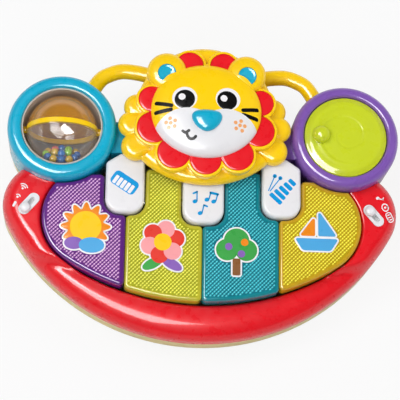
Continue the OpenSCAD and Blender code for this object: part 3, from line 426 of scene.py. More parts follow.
# Printing inks
INKS = {"blue": "#0098DC", "orange": "#F08A1C", "freckle": "#EFA567", "red": "#E23A2E", "green": "#3FA34A",
        "yellow": "#FFC914", "brown": "#8A5A33", "sky": "#4FA8E0", "lilac": "#8A63B8", "pink": "#F4A0A4"}
ink = {tone: plastic("print_" + tone, code, coat=0.05) for tone, code in INKS.items()}
ink["black"] = plastic("print_black", "#0C0C0E", vary=0.2, coat=0.1)
ink["white"] = plastic("print_white", "#F1EFF2", vary=0.02, coat=0.3)

# Camera, fitted to the photograph's view
EYE = Vector((-0.07, -0.29, 0.954)).normalized()
AIM = Vector((0, -4, 40)) * MM
EYE_DISTANCE = 1.25
EYE_ROLL = radians(0.841)
SENSOR, LENS, SHIFT = 36, 135.3, (-0.0053, -0.006)


def make_camera():
    data = bpy.data.cameras.new("camera")
    data.sensor_width, data.lens = SENSOR, LENS
    data.shift_x, data.shift_y = SHIFT
    cam = new_object("camera", data)
    level = (-EYE).cross(Vector((0, 1, 0))).normalized()
    upright = level.cross(-EYE)
    right = level * cos(EYE_ROLL) + upright * sin(EYE_ROLL)
    up = upright * cos(EYE_ROLL) - level * sin(EYE_ROLL)
    turn = Matrix((right, up, EYE)).transposed().to_4x4()
    cam.matrix_world = Matrix.Translation(AIM + EYE * EYE_DISTANCE) @ turn
    scene.camera = cam


make_camera()

# Floor, world and lamps, in metres and watts
FLOOR_SIZE, FLOOR_GLOW, FLOOR_NEAR, FLOOR_FAR = 4, 0.85, 0.4, 1.0
FLOOR_GREY = (0.7, 0.7, 0.7, 1)
SKY_FILL, SKY_TOP, SKY_EDGE = 0.42, 0.12, 0.25
LAMP_AIM = Vector((0, 0, 0.05))

# Place, size and power of each softbox, and whether it shows in glossy faces or lights the object
LAMPS = {
    "key_light": ((-0.7, 0.3, 1.2), (0.6, 0.6), 7.2, False),
    "front_light": ((-0.35, -0.9, 0.9), (0.9, 0.6), 4.5, False),
    "right_light": ((1.0, 0.4, 0.9), (1.0, 0.8), 6.5, False),
    "left_strip": ((-0.41, -0.41, 1.1), (1.0, 0.55), 26, True),
    "window": ((-0.66, -0.04, 1.27), (0.7, 0.7), 20, True),
}


def mirror_rays(tree, path):
    """1 for rays from glossy faces or glass, which see the backdrop as the camera does."""
    return combine(tree, "MAXIMUM", path.outputs["Is Glossy Ray"], path.outputs["Is Transmission Ray"])


def floor_look():
    """A pale grey that glows for the camera and, away from the object, for mirrored rays."""
    material = bpy.data.materials.new("floor")
    tree = tree_of(material)
    matt = fill(tree.nodes["Principled BSDF"], Base_Color=FLOOR_GREY, Roughness=0.9)
    glow = add(tree, "ShaderNodeEmission", Strength=1.0)
    path = add(tree, "ShaderNodeLightPath")
    place = add(tree, "ShaderNodeNewGeometry").outputs["Position"]
    reach = add(tree, "ShaderNodeVectorMath", place, operation="LENGTH").outputs["Value"]
    far = mapped(tree, reach, FLOOR_NEAR, FLOOR_FAR, 0, 1)
    mirror = combine(tree, "MULTIPLY", mirror_rays(tree, path), far)
    seen = combine(tree, "MAXIMUM", path.outputs["Is Camera Ray"], mirror)
    share = mapped(tree, seen, 0, 1, 0, FLOOR_GLOW)
    mix = add(tree, "ShaderNodeMixShader", share, matt.outputs[0], glow.outputs[0])
    fill(tree.nodes["Material Output"], Surface=mix.outputs[0])
    return material


def stage_floor():
    corners = [(i * FLOOR_SIZE, j * FLOOR_SIZE, 0) for i, j in CORNERS]
    mesh = bpy.data.meshes.new("floor")
    mesh.from_pydata(corners, [], [(0, 1, 2, 3)])
    mesh.materials.append(floor_look())
    floor = new_object("floor", mesh)


def studio_world():
    """Even fill light; the camera sees white, mirrored rays white at eye level and grey overhead."""
    world = bpy.data.worlds.new("studio")
    tree = tree_of(world)
    path = add(tree, "ShaderNodeLightPath")
    way = add(tree, "ShaderNodeSeparateXYZ", add(tree, "ShaderNodeTexCoord").outputs["Generated"])
    sky = mapped(tree, way.outputs["Z"], 0, SKY_EDGE, 1, SKY_TOP)
    level = mapped(tree, mirror_rays(tree, path), 0, 1, SKY_FILL, sky)
    strength = combine(tree, "MAXIMUM", level, path.outputs["Is Camera Ray"])
    fill(tree.nodes["Background"], Color=(1, 1, 1, 1), Strength=strength)
    scene.world = world


def softbox(name, place, size, power, gloss):
    """An area lamp that either lights the object or shows as a highlight on glossy faces."""
    lamp = bpy.data.lights.new(name, "AREA")
    lamp.shape = "RECTANGLE"
    lamp.size, lamp.size_y = size
    lamp.energy = power
    obj = new_object(name, lamp)
    obj.location = place
    obj.rotation_euler = (LAMP_AIM - Vector(place)).to_track_quat("-Z", "Y").to_euler()
    obj.visible_glossy, obj.visible_diffuse = gloss, not gloss


stage_floor()
studio_world()
for lamp, values in LAMPS.items():
    softbox(lamp, *values)

# Front case: a section swept round its outline
WING_X = CASE_W / 2 - WING_R
WING_Y = WING_RISE - CASE_FRONT
FRONT_R = (WING_X ** 2 + WING_RISE ** 2 - WING_R ** 2) / (2 * (WING_RISE - WING_R))
FRONT_CY = FRONT_R - CASE_FRONT
WING_TURN = atan2(WING_Y - FRONT_CY, WING_X)
WING_START = radians(86)
WING_STEPS, FRONT_STEPS = 36, 60
KEY_FRONT, KEY_R, KEY_END_R, KEY_END_X = 95.5, 210, 43, 89.5
KEY_CY = KEY_R - KEY_FRONT
KEY_END_Y = KEY_CY - sqrt((KEY_R - KEY_END_R) ** 2 - KEY_END_X ** 2)
KEY_TURN = atan2(KEY_END_Y - KEY_CY, KEY_END_X)
CREASE_FROM = (CASE_W / 2 - 15, -55.5)
CREASE_NORMAL = (-0.236, 0.972)
CREASE_W, ROUND_FADE = 7, 30

# Heights of the section as shares of its own; the curves start with shares of the wall or fillet
WALL_FOOT, SKIRT_LOW, CEILING = 0.3, 0.35, 0.86
LIP_CURVE = ((1, 1), (0.62, 0.992), (0.3, 0.97), (0.08, 0.93), (0, 0.88))
CEILING_CURVE = ((0.45, 0.68), (0.12, 0.42), (0, 0))
FILLET_STEPS, TOP_STEPS, FILLET_SHARE = 14, 10, 0.7

SLIDE_AT = (CASE_W / 2 - 22.5, -16.8)
SLIDE_ANGLE = radians(50)
SLIDE_TRAVEL, SLIDE_R = 9, 4.3
BEZEL_L, BEZEL_W = SLIDE_TRAVEL + 2 * SLIDE_R + 3.5, 2 * SLIDE_R + 0.8
SLOT_END, CARRIER_END = 0.001, 0.004


def over_crease(x, y):
    return (abs(x) - CREASE_FROM[0]) * CREASE_NORMAL[0] + (y - CREASE_FROM[1]) * CREASE_NORMAL[1]


def case_top(x, y):
    return RAIL_Z + (WING_Z - RAIL_Z) * smooth(over_crease(x, y) / CREASE_W + 0.5)


def edge_round(x, y):
    return RAIL_ROUND + (WING_ROUND - RAIL_ROUND) * smooth(over_crease(x, y) / ROUND_FADE + 0.5)


def opening_near(p):
    """The point of the keys' opening that lies across the case from p."""
    q = Vector((abs(p[0]), p[1]))
    end, mid = Vector((KEY_END_X, KEY_END_Y)), Vector((0, KEY_CY))
    away = q - end
    if atan2(away.y, away.x) > KEY_TURN:
        r = end + KEY_END_R * away.normalized()
    else:
        r = mid + KEY_R * (q - mid).normalized()
    return Vector((copysign(r.x, p[0]), r.y))


def case_section(p):
    """A ring of the shell at p: over fillet and top to the opening, and back underneath."""
    q = opening_near(p)
    p = Vector(p)
    w = (q - p).length
    along = (q - p) / w
    b = min(edge_round(*p), w * FILLET_SHARE)
    fillet = [(b - b * cos(a), WALL_FOOT + (1 - WALL_FOOT) * sin(a)) for a in quarter(FILLET_STEPS)]
    top = [(b + (w - WALL - b) * i / TOP_STEPS, 1) for i in range(1, TOP_STEPS)]
    lip = [(w - WALL * k, h) for k, h in LIP_CURVE]
    under = [(w, SKIRT_LOW), (w - WALL, SKIRT_LOW), (w - WALL, CEILING), (b, CEILING)]
    under += [(WALL + b * k, h) for k, h in CEILING_CURVE]
    out = []
    for k, h in [(0, 0)] + fillet + top + lip + under:
        x, y = p + along * k
        out.append((x, y, SEAM_Z + h * (case_top(x, y) - SEAM_Z)))
    return out


def ring_room(side, high):
    """A cutter that clears the round housing on one side."""
    return prism(disc(on_side(side, RING_AT), RING_R + SEAT_GAP, n=160), 0, high)


def slide_oval(side, length, width, end):
    """A slide switch's oval in its place on one side, with a short straight at each end."""
    return rounded_box(on_side(side, SLIDE_AT), length, width, width / 2 - end, -side * SLIDE_ANGLE)


def make_front_case():
    half = arc((WING_X, WING_Y), WING_R, WING_START, WING_TURN, WING_STEPS)
    half += arc((0, FRONT_CY), FRONT_R, WING_TURN, -pi / 2, FRONT_STEPS)[1:]
    path = half + [(-x, y) for x, y in half[-2::-1]]
    mesh = to_mesh("case", *loft([case_section(p) for p in path]))
    tools = []
    for side, _ in SIDES:
        tools.append(ring_room(side, RING_Z))
        opening = slide_oval(side, BEZEL_L + 2 * SEAT_GAP, BEZEL_W + 2 * SEAT_GAP, SLOT_END)
        tools.append(prism(opening, SEAM_Z, WING_Z + 5))
    piece("front_shell", carve(mesh, tools), red, "red_plastic", "front_case", sharp=30)


make_front_case()

# Keys: caps with a smooth border, a grained panel and a printed motif
KEY_SPLIT, KEY_GAP, KEY_SKIRT, KEY_ROUND, KEY_WALL = 63, 1.5, 13, 2.6, 2.2
BUTTON_W, BUTTON_X, BUTTON_FRONT = 32, 64.5, 23.5
MIDDLE_W, MIDDLE_FRONT = 34, 30.5
BUTTON_CORNER = 12
KEY_BACK, KEY_TIP, KEY_CORNER, LEAST_CORNER, ROUND_STEPS = 15, 9, 3.1, 0.4, 8
BORDER, PANEL_SLOPE, PANEL_DROP, CAP_GROW = 2.5, 0.25, 0.35, 0.65
PANEL_Z = KEY_Z - PANEL_DROP
GRAIN_X, GRAIN_Y, GRAIN_L, GRAIN_W, GRAIN_H = 3.24, 1.67, 2.15, 1.35, 0.34
GRAIN_SLOPE = atan2(GRAIN_Y, GRAIN_X / 2)
GRAIN_CLEAR, GRAIN_SIDES = 0.6, 8
GRAIN_STEPS = ((1, -0.1), (0.85, 0.6), (0.5, 1))


def key_y(x):
    return KEY_CY - sqrt((KEY_R - KEY_GAP) ** 2 - x * x)


def inner_key():
    """The inner key on the left, as (x, y, radius) corners."""
    gap = KEY_GAP / 2
    side_notch, mid_notch = -BUTTON_FRONT - KEY_GAP, -MIDDLE_FRONT - KEY_GAP
    notch_in = -BUTTON_X + BUTTON_W / 2 + KEY_GAP
    notch_mid = -MIDDLE_W / 2 - KEY_GAP
    left = -KEY_SPLIT + gap
    notch_r = min(BUTTON_CORNER + KEY_GAP, notch_in - left - KEY_CORNER - 0.3)
    front = [left + (-gap - left) * i / 24 for i in range(2, 23)]
    return [(left, key_y(left), KEY_CORNER)] + [(x, key_y(x), 0) for x in front] + [
        (-gap, key_y(-gap), KEY_CORNER), (-gap, mid_notch, KEY_CORNER), (notch_mid, mid_notch, notch_r),
        (notch_mid, KEY_BACK, KEY_CORNER), (notch_in, KEY_BACK, KEY_CORNER),
        (notch_in, side_notch, notch_r), (left, side_notch, KEY_CORNER)]


def outer_key():
    """The outer key on the left; its round side follows the ring and the case's opening."""
    side_notch = -BUTTON_FRONT - KEY_GAP
    notch_out = -BUTTON_X - BUTTON_W / 2 - KEY_GAP
    right = -KEY_SPLIT - KEY_GAP / 2
    ring, end = Vector((-RING_AT[0], RING_AT[1])), Vector((-KEY_END_X, KEY_END_Y))
    ring_clear, end_clear = RING_R + KEY_GAP, KEY_END_R - KEY_GAP
    span = end - ring
    reach = (ring_clear ** 2 - end_clear ** 2 + span.length_squared) / (2 * span.length)
    way = atan2(span.y, span.x)
    meet_ring = way - acos(reach / ring_clear)
    meet_end = (way + pi + acos((span.length - reach) / end_clear)) % tau
    tip = asin((KEY_TIP - ring.y) / ring_clear)
    turn = pi - KEY_TURN
    front_turn = atan2(key_y(right) - KEY_CY, right) + tau
    points = arc(ring, ring_clear, tip, meet_ring, 14)
    points += arc(end, end_clear, meet_end, turn, 40)[1:]
    points += arc((0, KEY_CY), KEY_R - KEY_GAP, turn, front_turn, 8)[1:-1]
    return [(right, key_y(right), KEY_CORNER), (right, side_notch, KEY_CORNER),
            (notch_out, side_notch, BUTTON_CORNER + KEY_GAP),
            (notch_out, KEY_TIP, KEY_CORNER)] + [(x, y, 0) for x, y in points]


def key_ring(corners, d):
    """A key's outline moved inwards by d: outer corners get sharper, those of the notches wider."""
    moved = inset([c[:2] for c in corners], d)
    out = []
    for i, (x, y, r) in enumerate(corners):
        a, b = corners[i - 1], corners[(i + 1) % len(corners)]
        bulges = (x - a[0]) * (b[1] - y) - (y - a[1]) * (b[0] - x) > 0
        out.append(moved[i] + (r and (max(LEAST_CORNER, r - d) if bulges else r + d),))
    return rounded(out)


def key_cap(corners):
    low, roof = KEY_Z - KEY_SKIRT, KEY_Z - KEY_WALL - LEAST_CORNER
    hollow = key_ring(corners, KEY_WALL)
    rings = [at(hollow, roof), at(hollow, low), at(key_ring(corners, -CAP_GROW), low)]
    rings += rolled(lambda d: key_ring(corners, d - CAP_GROW), KEY_ROUND, KEY_Z, ROUND_STEPS)
    rings += [at(key_ring(corners, BORDER), KEY_Z), at(key_ring(corners, BORDER + PANEL_SLOPE), PANEL_Z)]
    return loft(rings)


def grain(c):
    rings = []
    for k, h in GRAIN_STEPS:
        outline = disc(c, GRAIN_L / 2 * k, GRAIN_W / 2 * k, GRAIN_SLOPE, GRAIN_SIDES)
        rings.append(at(outline, PANEL_Z + h * GRAIN_H))
    return loft(rings)


def grains(corners, holes):
    """Rice-grain ridges in slanting rows, clear of the border and of the motif."""
    field = key_ring(corners, BORDER + GRAIN_CLEAR)
    xs, ys = [p[0] for p in field], [p[1] for p in field]
    parts = []
    for j in range(int((max(ys) - min(ys)) / GRAIN_Y)):
        for i in range(int((max(xs) - min(xs)) / GRAIN_X) + 1):
            c = (min(xs) + (i + 0.5 * (j % 2)) * GRAIN_X, min(ys) + (j + 0.6) * GRAIN_Y)
            if inside(c, field) and not any(inside(c, hole) for hole in holes):
                parts.append(grain(c))
    return join(parts)


def colour_panel(cap, look):
    cap.data.materials.append(look)
    for face in cap.data.polygons:
        if face.normal.z > 0.9 and abs(face.center.z / MM - PANEL_Z) < 0.02:
            face.material_index = 1


# Stickers on the keys: each layer lies a little above the one before
MOTIF_SCALE, STICKER_EDGE = 1.3, 1.3
BACK_LIFT, BACK_STEP = 0.3, 0.012
LAYER_LIFT, LAYER_STEP = 0.46, 0.03


def sun():
    rays = [polar(13.5 + 2.2 * cos(12 * tau * i / 144), tau * i / 144) for i in range(144)]
    return [("orange", rays), ("yellow", disc((0, 0), 10)), ("lilac", disc((-7, -11), 6, 4)),
            ("sky", disc((4, -12), 8, 5))]


def flower():
    heart, petal_r = (0, 3), 5.6
    leaves = [("green", disc((-6, -11), 7, 3.2, 0.5)), ("lilac", disc((6, -11), 7, 3.2, -0.5))]
    petals = [disc(polar(8.4, tau * i / 6 + 0.3, heart), petal_r) for i in range(6)]
    petals = [("pink" if i % 2 else "red", petal) for i, petal in enumerate(petals)]
    return leaves + petals + [("yellow", disc(heart, petal_r))]


def tree():
    crown = [("green", disc(c, r)) for c, r in (((-6, 1), 7), ((6, 1), 7), ((0, 7), 8))]
    fruits = (("lilac", (-5, 3)), ("orange", (5, 6)), ("lilac", (3, -1.5)))
    trunk = rounded_box((0, -10), 5, 11, 1)
    return [("brown", trunk)] + crown + [(tone, disc(c, 2.4)) for tone, c in fruits]


def boat():
    hull = rounded([(-9, -12, 3), (9, -12, 3), (14, -4, 1), (-14, -4, 1)], 5)
    main = rounded([(1, -2.5, 1), (13, -2.5, 1), (1, 15, 1)], 4)
    jib = rounded([(-11, -2.5, 1), (-1, -2.5, 1), (-1, 11, 1)], 4)
    return [("sky", hull), ("sky", main), ("orange", jib)]


def make_motif(place, body, layers, c):
    """A printed sticker with a white edge. Returns the outlines that the grain keeps clear of."""
    panel = flat(PANEL_Z)
    backs, holes = [], []
    for i, (tone, outline) in enumerate(layers):
        shape = [(c[0] + MOTIF_SCALE * x, c[1] + MOTIF_SCALE * y) for x, y in outline]
        backs.append(patch(inset(shape, -STICKER_EDGE), panel, BACK_LIFT + BACK_STEP * i))
        holes.append(inset(shape, -STICKER_EDGE - GRAIN_CLEAR))
        layer = patch(shape, panel, LAYER_LIFT + LAYER_STEP * i, rings=3)
        piece("sticker_%s_%d" % (place, i), layer, ink[tone], "white_plastic", body=body)
    piece("sticker_edge_" + place, join(backs), ink["white"], "white_plastic", body=body)
    return holes


# Each key's name, tones of its border, its panel and its grains, and its motif with the motif's middle; the
# grains' light tone is a painted glint of the lens texture
KEYS = {
    "outer_left": ("purple", "#5A1E7C", "#67277E", "#E6B6E4", sun, (-95.5, -35.5)),
    "inner_left": ("lime", "#BDB62E", "#A0A212", "#F6F366", flower, (-32.5, -50.5)),
    "inner_right": ("teal", "#02838F", "#007080", "#5CD4E0", tree, (28, -52.5)),
    "outer_right": ("yellow", "#C8A01A", "#B89C08", "#FFF250", boat, (94, -34)),
}


def make_keys():
    shapes = {"outer_left": outer_key(), "inner_left": inner_key(),
              "inner_right": flip(inner_key()), "outer_right": flip(outer_key())}
    for place, (tone, border, panel, light, motif, middle) in KEYS.items():
        body, slot = place + "_key", "key_" + tone
        border_look = key_plastic("key_" + tone, border, 1)
        cap = piece("key_cap_" + place, key_cap(shapes[place]), border_look, slot, "key_" + place,
                    body=body, sharp=40)
        colour_panel(cap, key_plastic("panel_" + tone, panel, 0))
        holes = make_motif(place, body, motif(), middle)
        # The grains' lighter tone is a painted glint: the lens texture's sparkle, painted into their colour
        painted_glint_look = key_plastic("grain_" + tone, light, 0)
        piece("key_grain_" + place, grains(shapes[place], holes), painted_glint_look, slot, body=body, sharp=50)


make_keys()

# Push buttons
BUTTON_SKIRT, BUTTON_ROUND, BUTTON_BACK, BUTTON_SLANT, MIDDLE_BACK = 12, 3, 27, 8, 14
BACK_CORNER, STEM_R, ROUND_SHARE = 4, 4, 0.98
STEMS = {"left": (-BUTTON_X, 8), "middle": (0, 4), "right": (BUTTON_X, 8)}


def button_outlines():
    left, right = -BUTTON_X - BUTTON_W / 2, -BUTTON_X + BUTTON_W / 2
    side = rounded([(left, -BUTTON_FRONT, BUTTON_CORNER), (right, -BUTTON_FRONT, BUTTON_CORNER),
                    (right, BUTTON_BACK, BACK_CORNER), (left + BUTTON_CORNER, BUTTON_BACK, BACK_CORNER),
                    (left, BUTTON_BACK - BUTTON_SLANT, BACK_CORNER)], 12)
    half = MIDDLE_W / 2
    middle = rounded([(-half, -MIDDLE_FRONT, BUTTON_CORNER), (half, -MIDDLE_FRONT, BUTTON_CORNER),
                      (half, MIDDLE_BACK, BACK_CORNER), (-half, MIDDLE_BACK, BACK_CORNER)], 12)
    return {"left": side, "middle": middle, "right": flip(side)}


def button_cap(outline):
    edge = rolled(lambda d: inset(outline, d * ROUND_SHARE), BUTTON_ROUND, BUTTON_Z, ROUND_STEPS)
    return loft([at(outline, BUTTON_Z - BUTTON_SKIRT)] + edge)


def make_buttons():
    for name, outline in button_outlines().items():
        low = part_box("button_" + name)[0][2] / MM
        stem = prism(disc(STEMS[name], STEM_R), low, BUTTON_Z - BUTTON_SKIRT + 1)
        piece("button_cap_" + name, join([button_cap(outline), stem]), white, "white_plastic",
              "button_" + name, body=name + "_button")


make_buttons()

# Pictures on the buttons
button_top = flat(BUTTON_Z)
KEYBOARD_AT, KEYBOARD_TURN, KEYBOARD_PITCH, KEYBOARD_LIFT = (-65, 1.5), radians(-33), 3.8, 0.16
NOTE_HEADS = ((-7, -12.4), (2.8, -10.6), (8.4, -12), (-2.6, -22.3))
NOTE_R, NOTE_TILT, STEM_W, FLAG_W, BEAM_W = 2.1, 0.4, 1.1, 1.6, 2.2
NOTE_LINES = (
    (((-5.4, -11.8), (-5.4, -4)), STEM_W), (((-5.4, -4.2), (-8.4, -5.6)), FLAG_W),
    (((4.5, -10), (5.8, -4.4)), STEM_W), (((10.1, -11.4), (11.5, -5.6)), STEM_W),
    (((5.8, -4.6), (11.6, -5.8)), BEAM_W), (((-1, -21.6), (0.4, -15.2)), STEM_W),
    (((0.4, -15.4), (3, -16.4)), FLAG_W),
)
BARS_FROM, BARS_STEP, BARS_TURN = (59.6, -7.6), (3.4, 3.6), radians(-43)
BAR_L, BAR_SHORTER, BAR_W = 12.6, 1.4, 3.6
MALLETS = (((53.6, -0.8), (58.8, 11.8)), ((55, -1.2), (63.4, 10.2)))
MALLET_W, MALLET_R, MALLET_LIFT = 0.9, 1.7, 0.14


def picture(name, body, shapes, look=ink["blue"]):
    piece(name, join(shapes), look, "blue_plastic", body=body)


def keyboard_picture():
    panel = rounded_box(KEYBOARD_AT, 23, 12.5, 3.6, KEYBOARD_TURN)
    picture("print_keyboard", "left_button", [patch(panel, button_top)])
    keys = []
    for i in range(-2, 3):
        c = turned((KEYBOARD_PITCH * i, -1.7), KEYBOARD_AT, KEYBOARD_TURN)
        keys.append(patch(rounded_box(c, 2.9, 7.6, 0.8, KEYBOARD_TURN), button_top, KEYBOARD_LIFT, rings=2))
    picture("print_keyboard_keys", "left_button", keys, ink["white"])


def notes_picture():
    notes = [patch(disc(c, NOTE_R, NOTE_R * 0.8, NOTE_TILT), button_top) for c in NOTE_HEADS]
    notes += [stroke(points, width, button_top) for points, width in NOTE_LINES]
    picture("print_notes", "middle_button", notes)


def xylophone_picture():
    bars = []
    for i in range(5):
        c = (BARS_FROM[0] + BARS_STEP[0] * i, BARS_FROM[1] + BARS_STEP[1] * i)
        bars.append(patch(rounded_box(c, BAR_L - BAR_SHORTER * i, BAR_W, 1.2, BARS_TURN), button_top))
    picture("print_xylophone", "right_button", bars)
    for k, (grip_end, head) in enumerate(MALLETS):
        mallet = [stroke([grip_end, head], MALLET_W, button_top, MALLET_LIFT),
                  patch(disc(head, MALLET_R), button_top, MALLET_LIFT)]
        picture("print_mallet_%d" % k, "right_button", mallet)


keyboard_picture()
notes_picture()
xylophone_picture()

# Lion's mane: rows of lobes and petals round the face, on a round skirt
FACE_A, FACE_B, FACE_Y, FACE_RISE, DOME_FOOT = 45.5, 40, 60, 14, 2
FACE_MID, MANE_MID = (0, FACE_Y), (0, FACE_Y + 2.5)
MANE_CORE = (FACE_A + 12.5, FACE_B + 18)
MANE_BRIM = (FACE_A + 25.3, FACE_B + 21.5)
ROW_CORE = (FACE_A + 2.5, FACE_B + 2.5)
RECESS_CORE = (FACE_A + 0.3, FACE_B + 0.3)
PLATE_CORE = (FACE_A - 6, FACE_B - 6)
BRIM_LEVEL = -0.62
SIDE_LOBES = ((1.242, 0.1, 11), (1.34, -0.288, 11), (1.253, -0.763, 12))
PETALS = ((0, -1.025, 13.2), (0.57, -0.905, 13.7), (0.95, -0.378, 13.6), (0.985, 0.233, 11.2),
          (0.308, 1.013, 11.5))
LOBE_ROUND, LOBE_STEPS, ROW_STEPS = 6.8, 540, 10
PETAL_RIM, PETAL_T, RIM_H, RIM_ROUND = 2.2, 1.2, 0.8, 1.5
EAR_AT, EAR_R, EAR_RISE = (33, 34), 16.5, 7
POST_AT, POST_R, POST_L = (28, 42), 5, 8
TOWER_AT, SKIRT_R, SKIRT_FRONT = (0, FACE_Y + 6), 42, 57.5
GRIP_ROOM_Y, GRIP_ROOM_R = 97.5, 8.5

# The petals' crown: distance in from their edge, and height above the face's foot
PETAL_CROWN = ((0.1, -PETAL_T), (0.1, 0.1), (0.35, 0.5), (0.8, 0.85), (1.5, 1.1), (2.5, 1.25),
               (4.5, 1.35), (8, 1.4))


def on_face(places, extra=0):
    """Circles in shares of the face's half axes, on both sides, from the face's middle."""
    return [(s * x * FACE_A, y * FACE_B, r + extra) for s, _ in SIDES for x, y, r in places if s > 0 or x > 0]


def circle_reach(a, c, d):
    """How far a circle, made smaller by d, reaches from the middle at an angle, or 0."""
    along = cos(a) * c[0] + sin(a) * c[1]
    off = cos(a) * c[1] - sin(a) * c[0]
    left = (c[2] - d) ** 2 - off * off
    return along + sqrt(left) if left > 0 and c[2] > d else 0


def ellipse_reach(a, size):
    return 1 / sqrt((cos(a) / size[0]) ** 2 + (sin(a) / size[1]) ** 2)


def lobed(circles, core, d, c, brim=None):
    """The outline of circles round an ellipse, which may have a brim below."""
    out = []
    for i in range(LOBE_STEPS):
        a = tau * i / LOBE_STEPS
        least = ellipse_reach(a, brim if brim and sin(a) < BRIM_LEVEL else core) - d
        out.append(polar(max([circle_reach(a, q, d) for q in circles] + [least]), a, c))
    return out


def lobed_row(circles, core, low, high, r, c, brim=None):
    """Rings of a lobed plate with a rounded top edge."""
    def edge(d):
        return lobed(circles, core, d, c, brim)
    return [at(edge(0), low)] + rolled(edge, r, high, ROW_STEPS)


def tube_ring(p, way, r):
    """A ring of the handle about p, across its way."""
    return [(p[0] - way[1] * x, p[1] + way[0] * x, HANDLE_Z + y) for x, y in disc((0, 0), r, n=40)]


def make_mane():
    lobes = lobed_row(on_face(SIDE_LOBES), MANE_CORE, MANE_Z, PETAL_Z, LOBE_ROUND, MANE_MID, MANE_BRIM)
    posts = [prism(disc(on_side(s, POST_AT), POST_R), MANE_Z - POST_L, MANE_Z + 1) for s, _ in SIDES]
    piece("mane_lobes", join([loft(lobes)] + posts), yellow, "yellow_plastic", "mane_outer", sharp=60)


def make_skirt():
    """The wall under the mane, open in front and cut out for the handle."""
    wall = to_mesh("wall", *prism(disc(TOWER_AT, SKIRT_R, n=128), SEAM_Z, MANE_Z + 0.5))
    past = SKIRT_R + 1
    front = rounded_box((0, SKIRT_FRONT / 2), 2 * past, SKIRT_FRONT, 0)
    tools = [prism(disc(TOWER_AT, SKIRT_R - WALL, n=128), SEAM_Z - 1, MANE_Z + 1),
             prism(front, SEAM_Z - 1, MANE_Z + 1),
             loft([tube_ring((x, GRIP_ROOM_Y), (1, 0), GRIP_ROOM_R) for x in (-past, past)])]
    piece("head_skirt", carve(wall, tools), yellow, "yellow_plastic")


def make_petals():
    rims = on_face(PETALS, PETAL_RIM) + [(s * EAR_AT[0], EAR_AT[1], EAR_R) for s, _ in SIDES]
    rings = lobed_row(rims, ROW_CORE, PETAL_Z, FACE_Z + RIM_H, RIM_ROUND, FACE_MID)
    petals = on_face(PETALS)
    hollow = lobed(petals, RECESS_CORE, 0, FACE_MID)
    rings += [at(hollow, FACE_Z + RIM_H), at(hollow, FACE_Z - PETAL_T)]
    piece("mane_rims", loft(rings), yellow, "yellow_plastic", "mane_inner", sharp=50)
    plate = [at(lobed(petals, PLATE_CORE, d, FACE_MID), FACE_Z + z) for d, z in PETAL_CROWN]
    piece("mane_petal_plate", loft(plate), red, "red_plastic", "mane_petals", sharp=60)


make_mane()
make_skirt()
make_petals()

# Lion's face: a dome with ears, a white muzzle and a blue nose
TOP_GAP = 0.2
MUZZLE_LIFT = 0.3
CHEEK_AT, CHEEK_R = (16, -30.5), 29
CHIN_Y, FAR_OFF = -18, 70
EAR_MID, EAR_FOOT_R = (EAR_AT[0], FACE_Y + EAR_AT[1]), EAR_R - 0.5
INLAY_AT, INLAY_R, INLAY_DISH = (33.3, 90.6), 7.4, 2.4
INLAY_SINK, INLAY_T, INLAY_BULGE = 0.15, 0.9, 1.2
POCKET_GAP, POCKET_DEPTH, POCKET_TOP = 0.25, 3.2, 8
NOSE_AT, NOSE_SIZE = (-0.2, 49.2), (12.4, 9.2, 5)
NOSE_FOOT, NOSE_TAPER, NOSE_FLAT, NOSE_RIM = 7, 0.1, 0.13, 0.6


def dome_z(x, y):
    left = 1 - (x / FACE_A) ** 2 - ((y - FACE_Y) / FACE_B) ** 2
    return FACE_Z + DOME_FOOT + (FACE_RISE - DOME_FOOT) * sqrt(max(0, left))


def muzzle_z(x, y):
    return dome_z(x, y) + MUZZLE_LIFT


def dome(c, size, low, foot, rise, steps, n):
    """A solid half ellipsoid on a short wall."""
    rings = [at(disc(c, *size, n=n), low)]
    for a in quarter(steps, short=TOP_GAP):
        rings.append(at(disc(c, size[0] * cos(a), size[1] * cos(a), n=n), foot + rise * sin(a)))
    return loft(rings)


def face_dome(name, lift=0):
    size = (FACE_A + lift, FACE_B + lift)
    rise = FACE_RISE - DOME_FOOT + lift
    return to_mesh(name, *dome(FACE_MID, size, FACE_Z, FACE_Z + DOME_FOOT, rise, 28, 128))


def muzzle_outline():
    """Two cheeks that meet under the nose, then down past the face's edge."""
    first = asin((CHIN_Y - CHEEK_AT[1]) / CHEEK_R)
    cheek = arc(CHEEK_AT, CHEEK_R, first, acos(-CHEEK_AT[0] / CHEEK_R), 40)
    half = [(FAR_OFF, -FAR_OFF), (FAR_OFF, CHIN_Y)] + cheek
    return [(x, y + FACE_Y) for x, y in half + flip(half)[1:]]


def hump(x, y, c, r):
    """1 in the middle of a circle that each side has, and 0 from its edge on."""
    return max(0, 1 - ((abs(x) - c[0]) ** 2 + (y - c[1]) ** 2) / r ** 2)


def ear_z(x, y):
    return FACE_Z + RIM_H + EAR_RISE * sqrt(hump(x, y, EAR_MID, EAR_FOOT_R))


def inlay_z(x, y):
    return ear_z(x, y) - INLAY_DISH * hump(x, y, INLAY_AT, INLAY_R)


def inlay_outline(side):
    """The blue inner ear: a round top, cut off along the face's edge."""
    points = arc(INLAY_AT, INLAY_R, radians(-62), radians(172), 40)
    points += bend(points[-1], points[0], INLAY_BULGE)[1:-1]
    return points if side > 0 else flip(points)


def ear(side):
    foot = FACE_Z + RIM_H
    return dome(on_side(side, EAR_MID), (EAR_FOOT_R, EAR_FOOT_R), foot - 0.5, foot, EAR_RISE, 32, 96)


def make_inlays():
    for side, name in SIDES:
        inlay = patch(inlay_outline(side), inlay_z, -INLAY_SINK, INLAY_T)
        nodes = ["ear_inlays"] if side > 0 else []
        piece("ear_inlay_" + name, inlay, blue, "blue_plastic", *nodes)


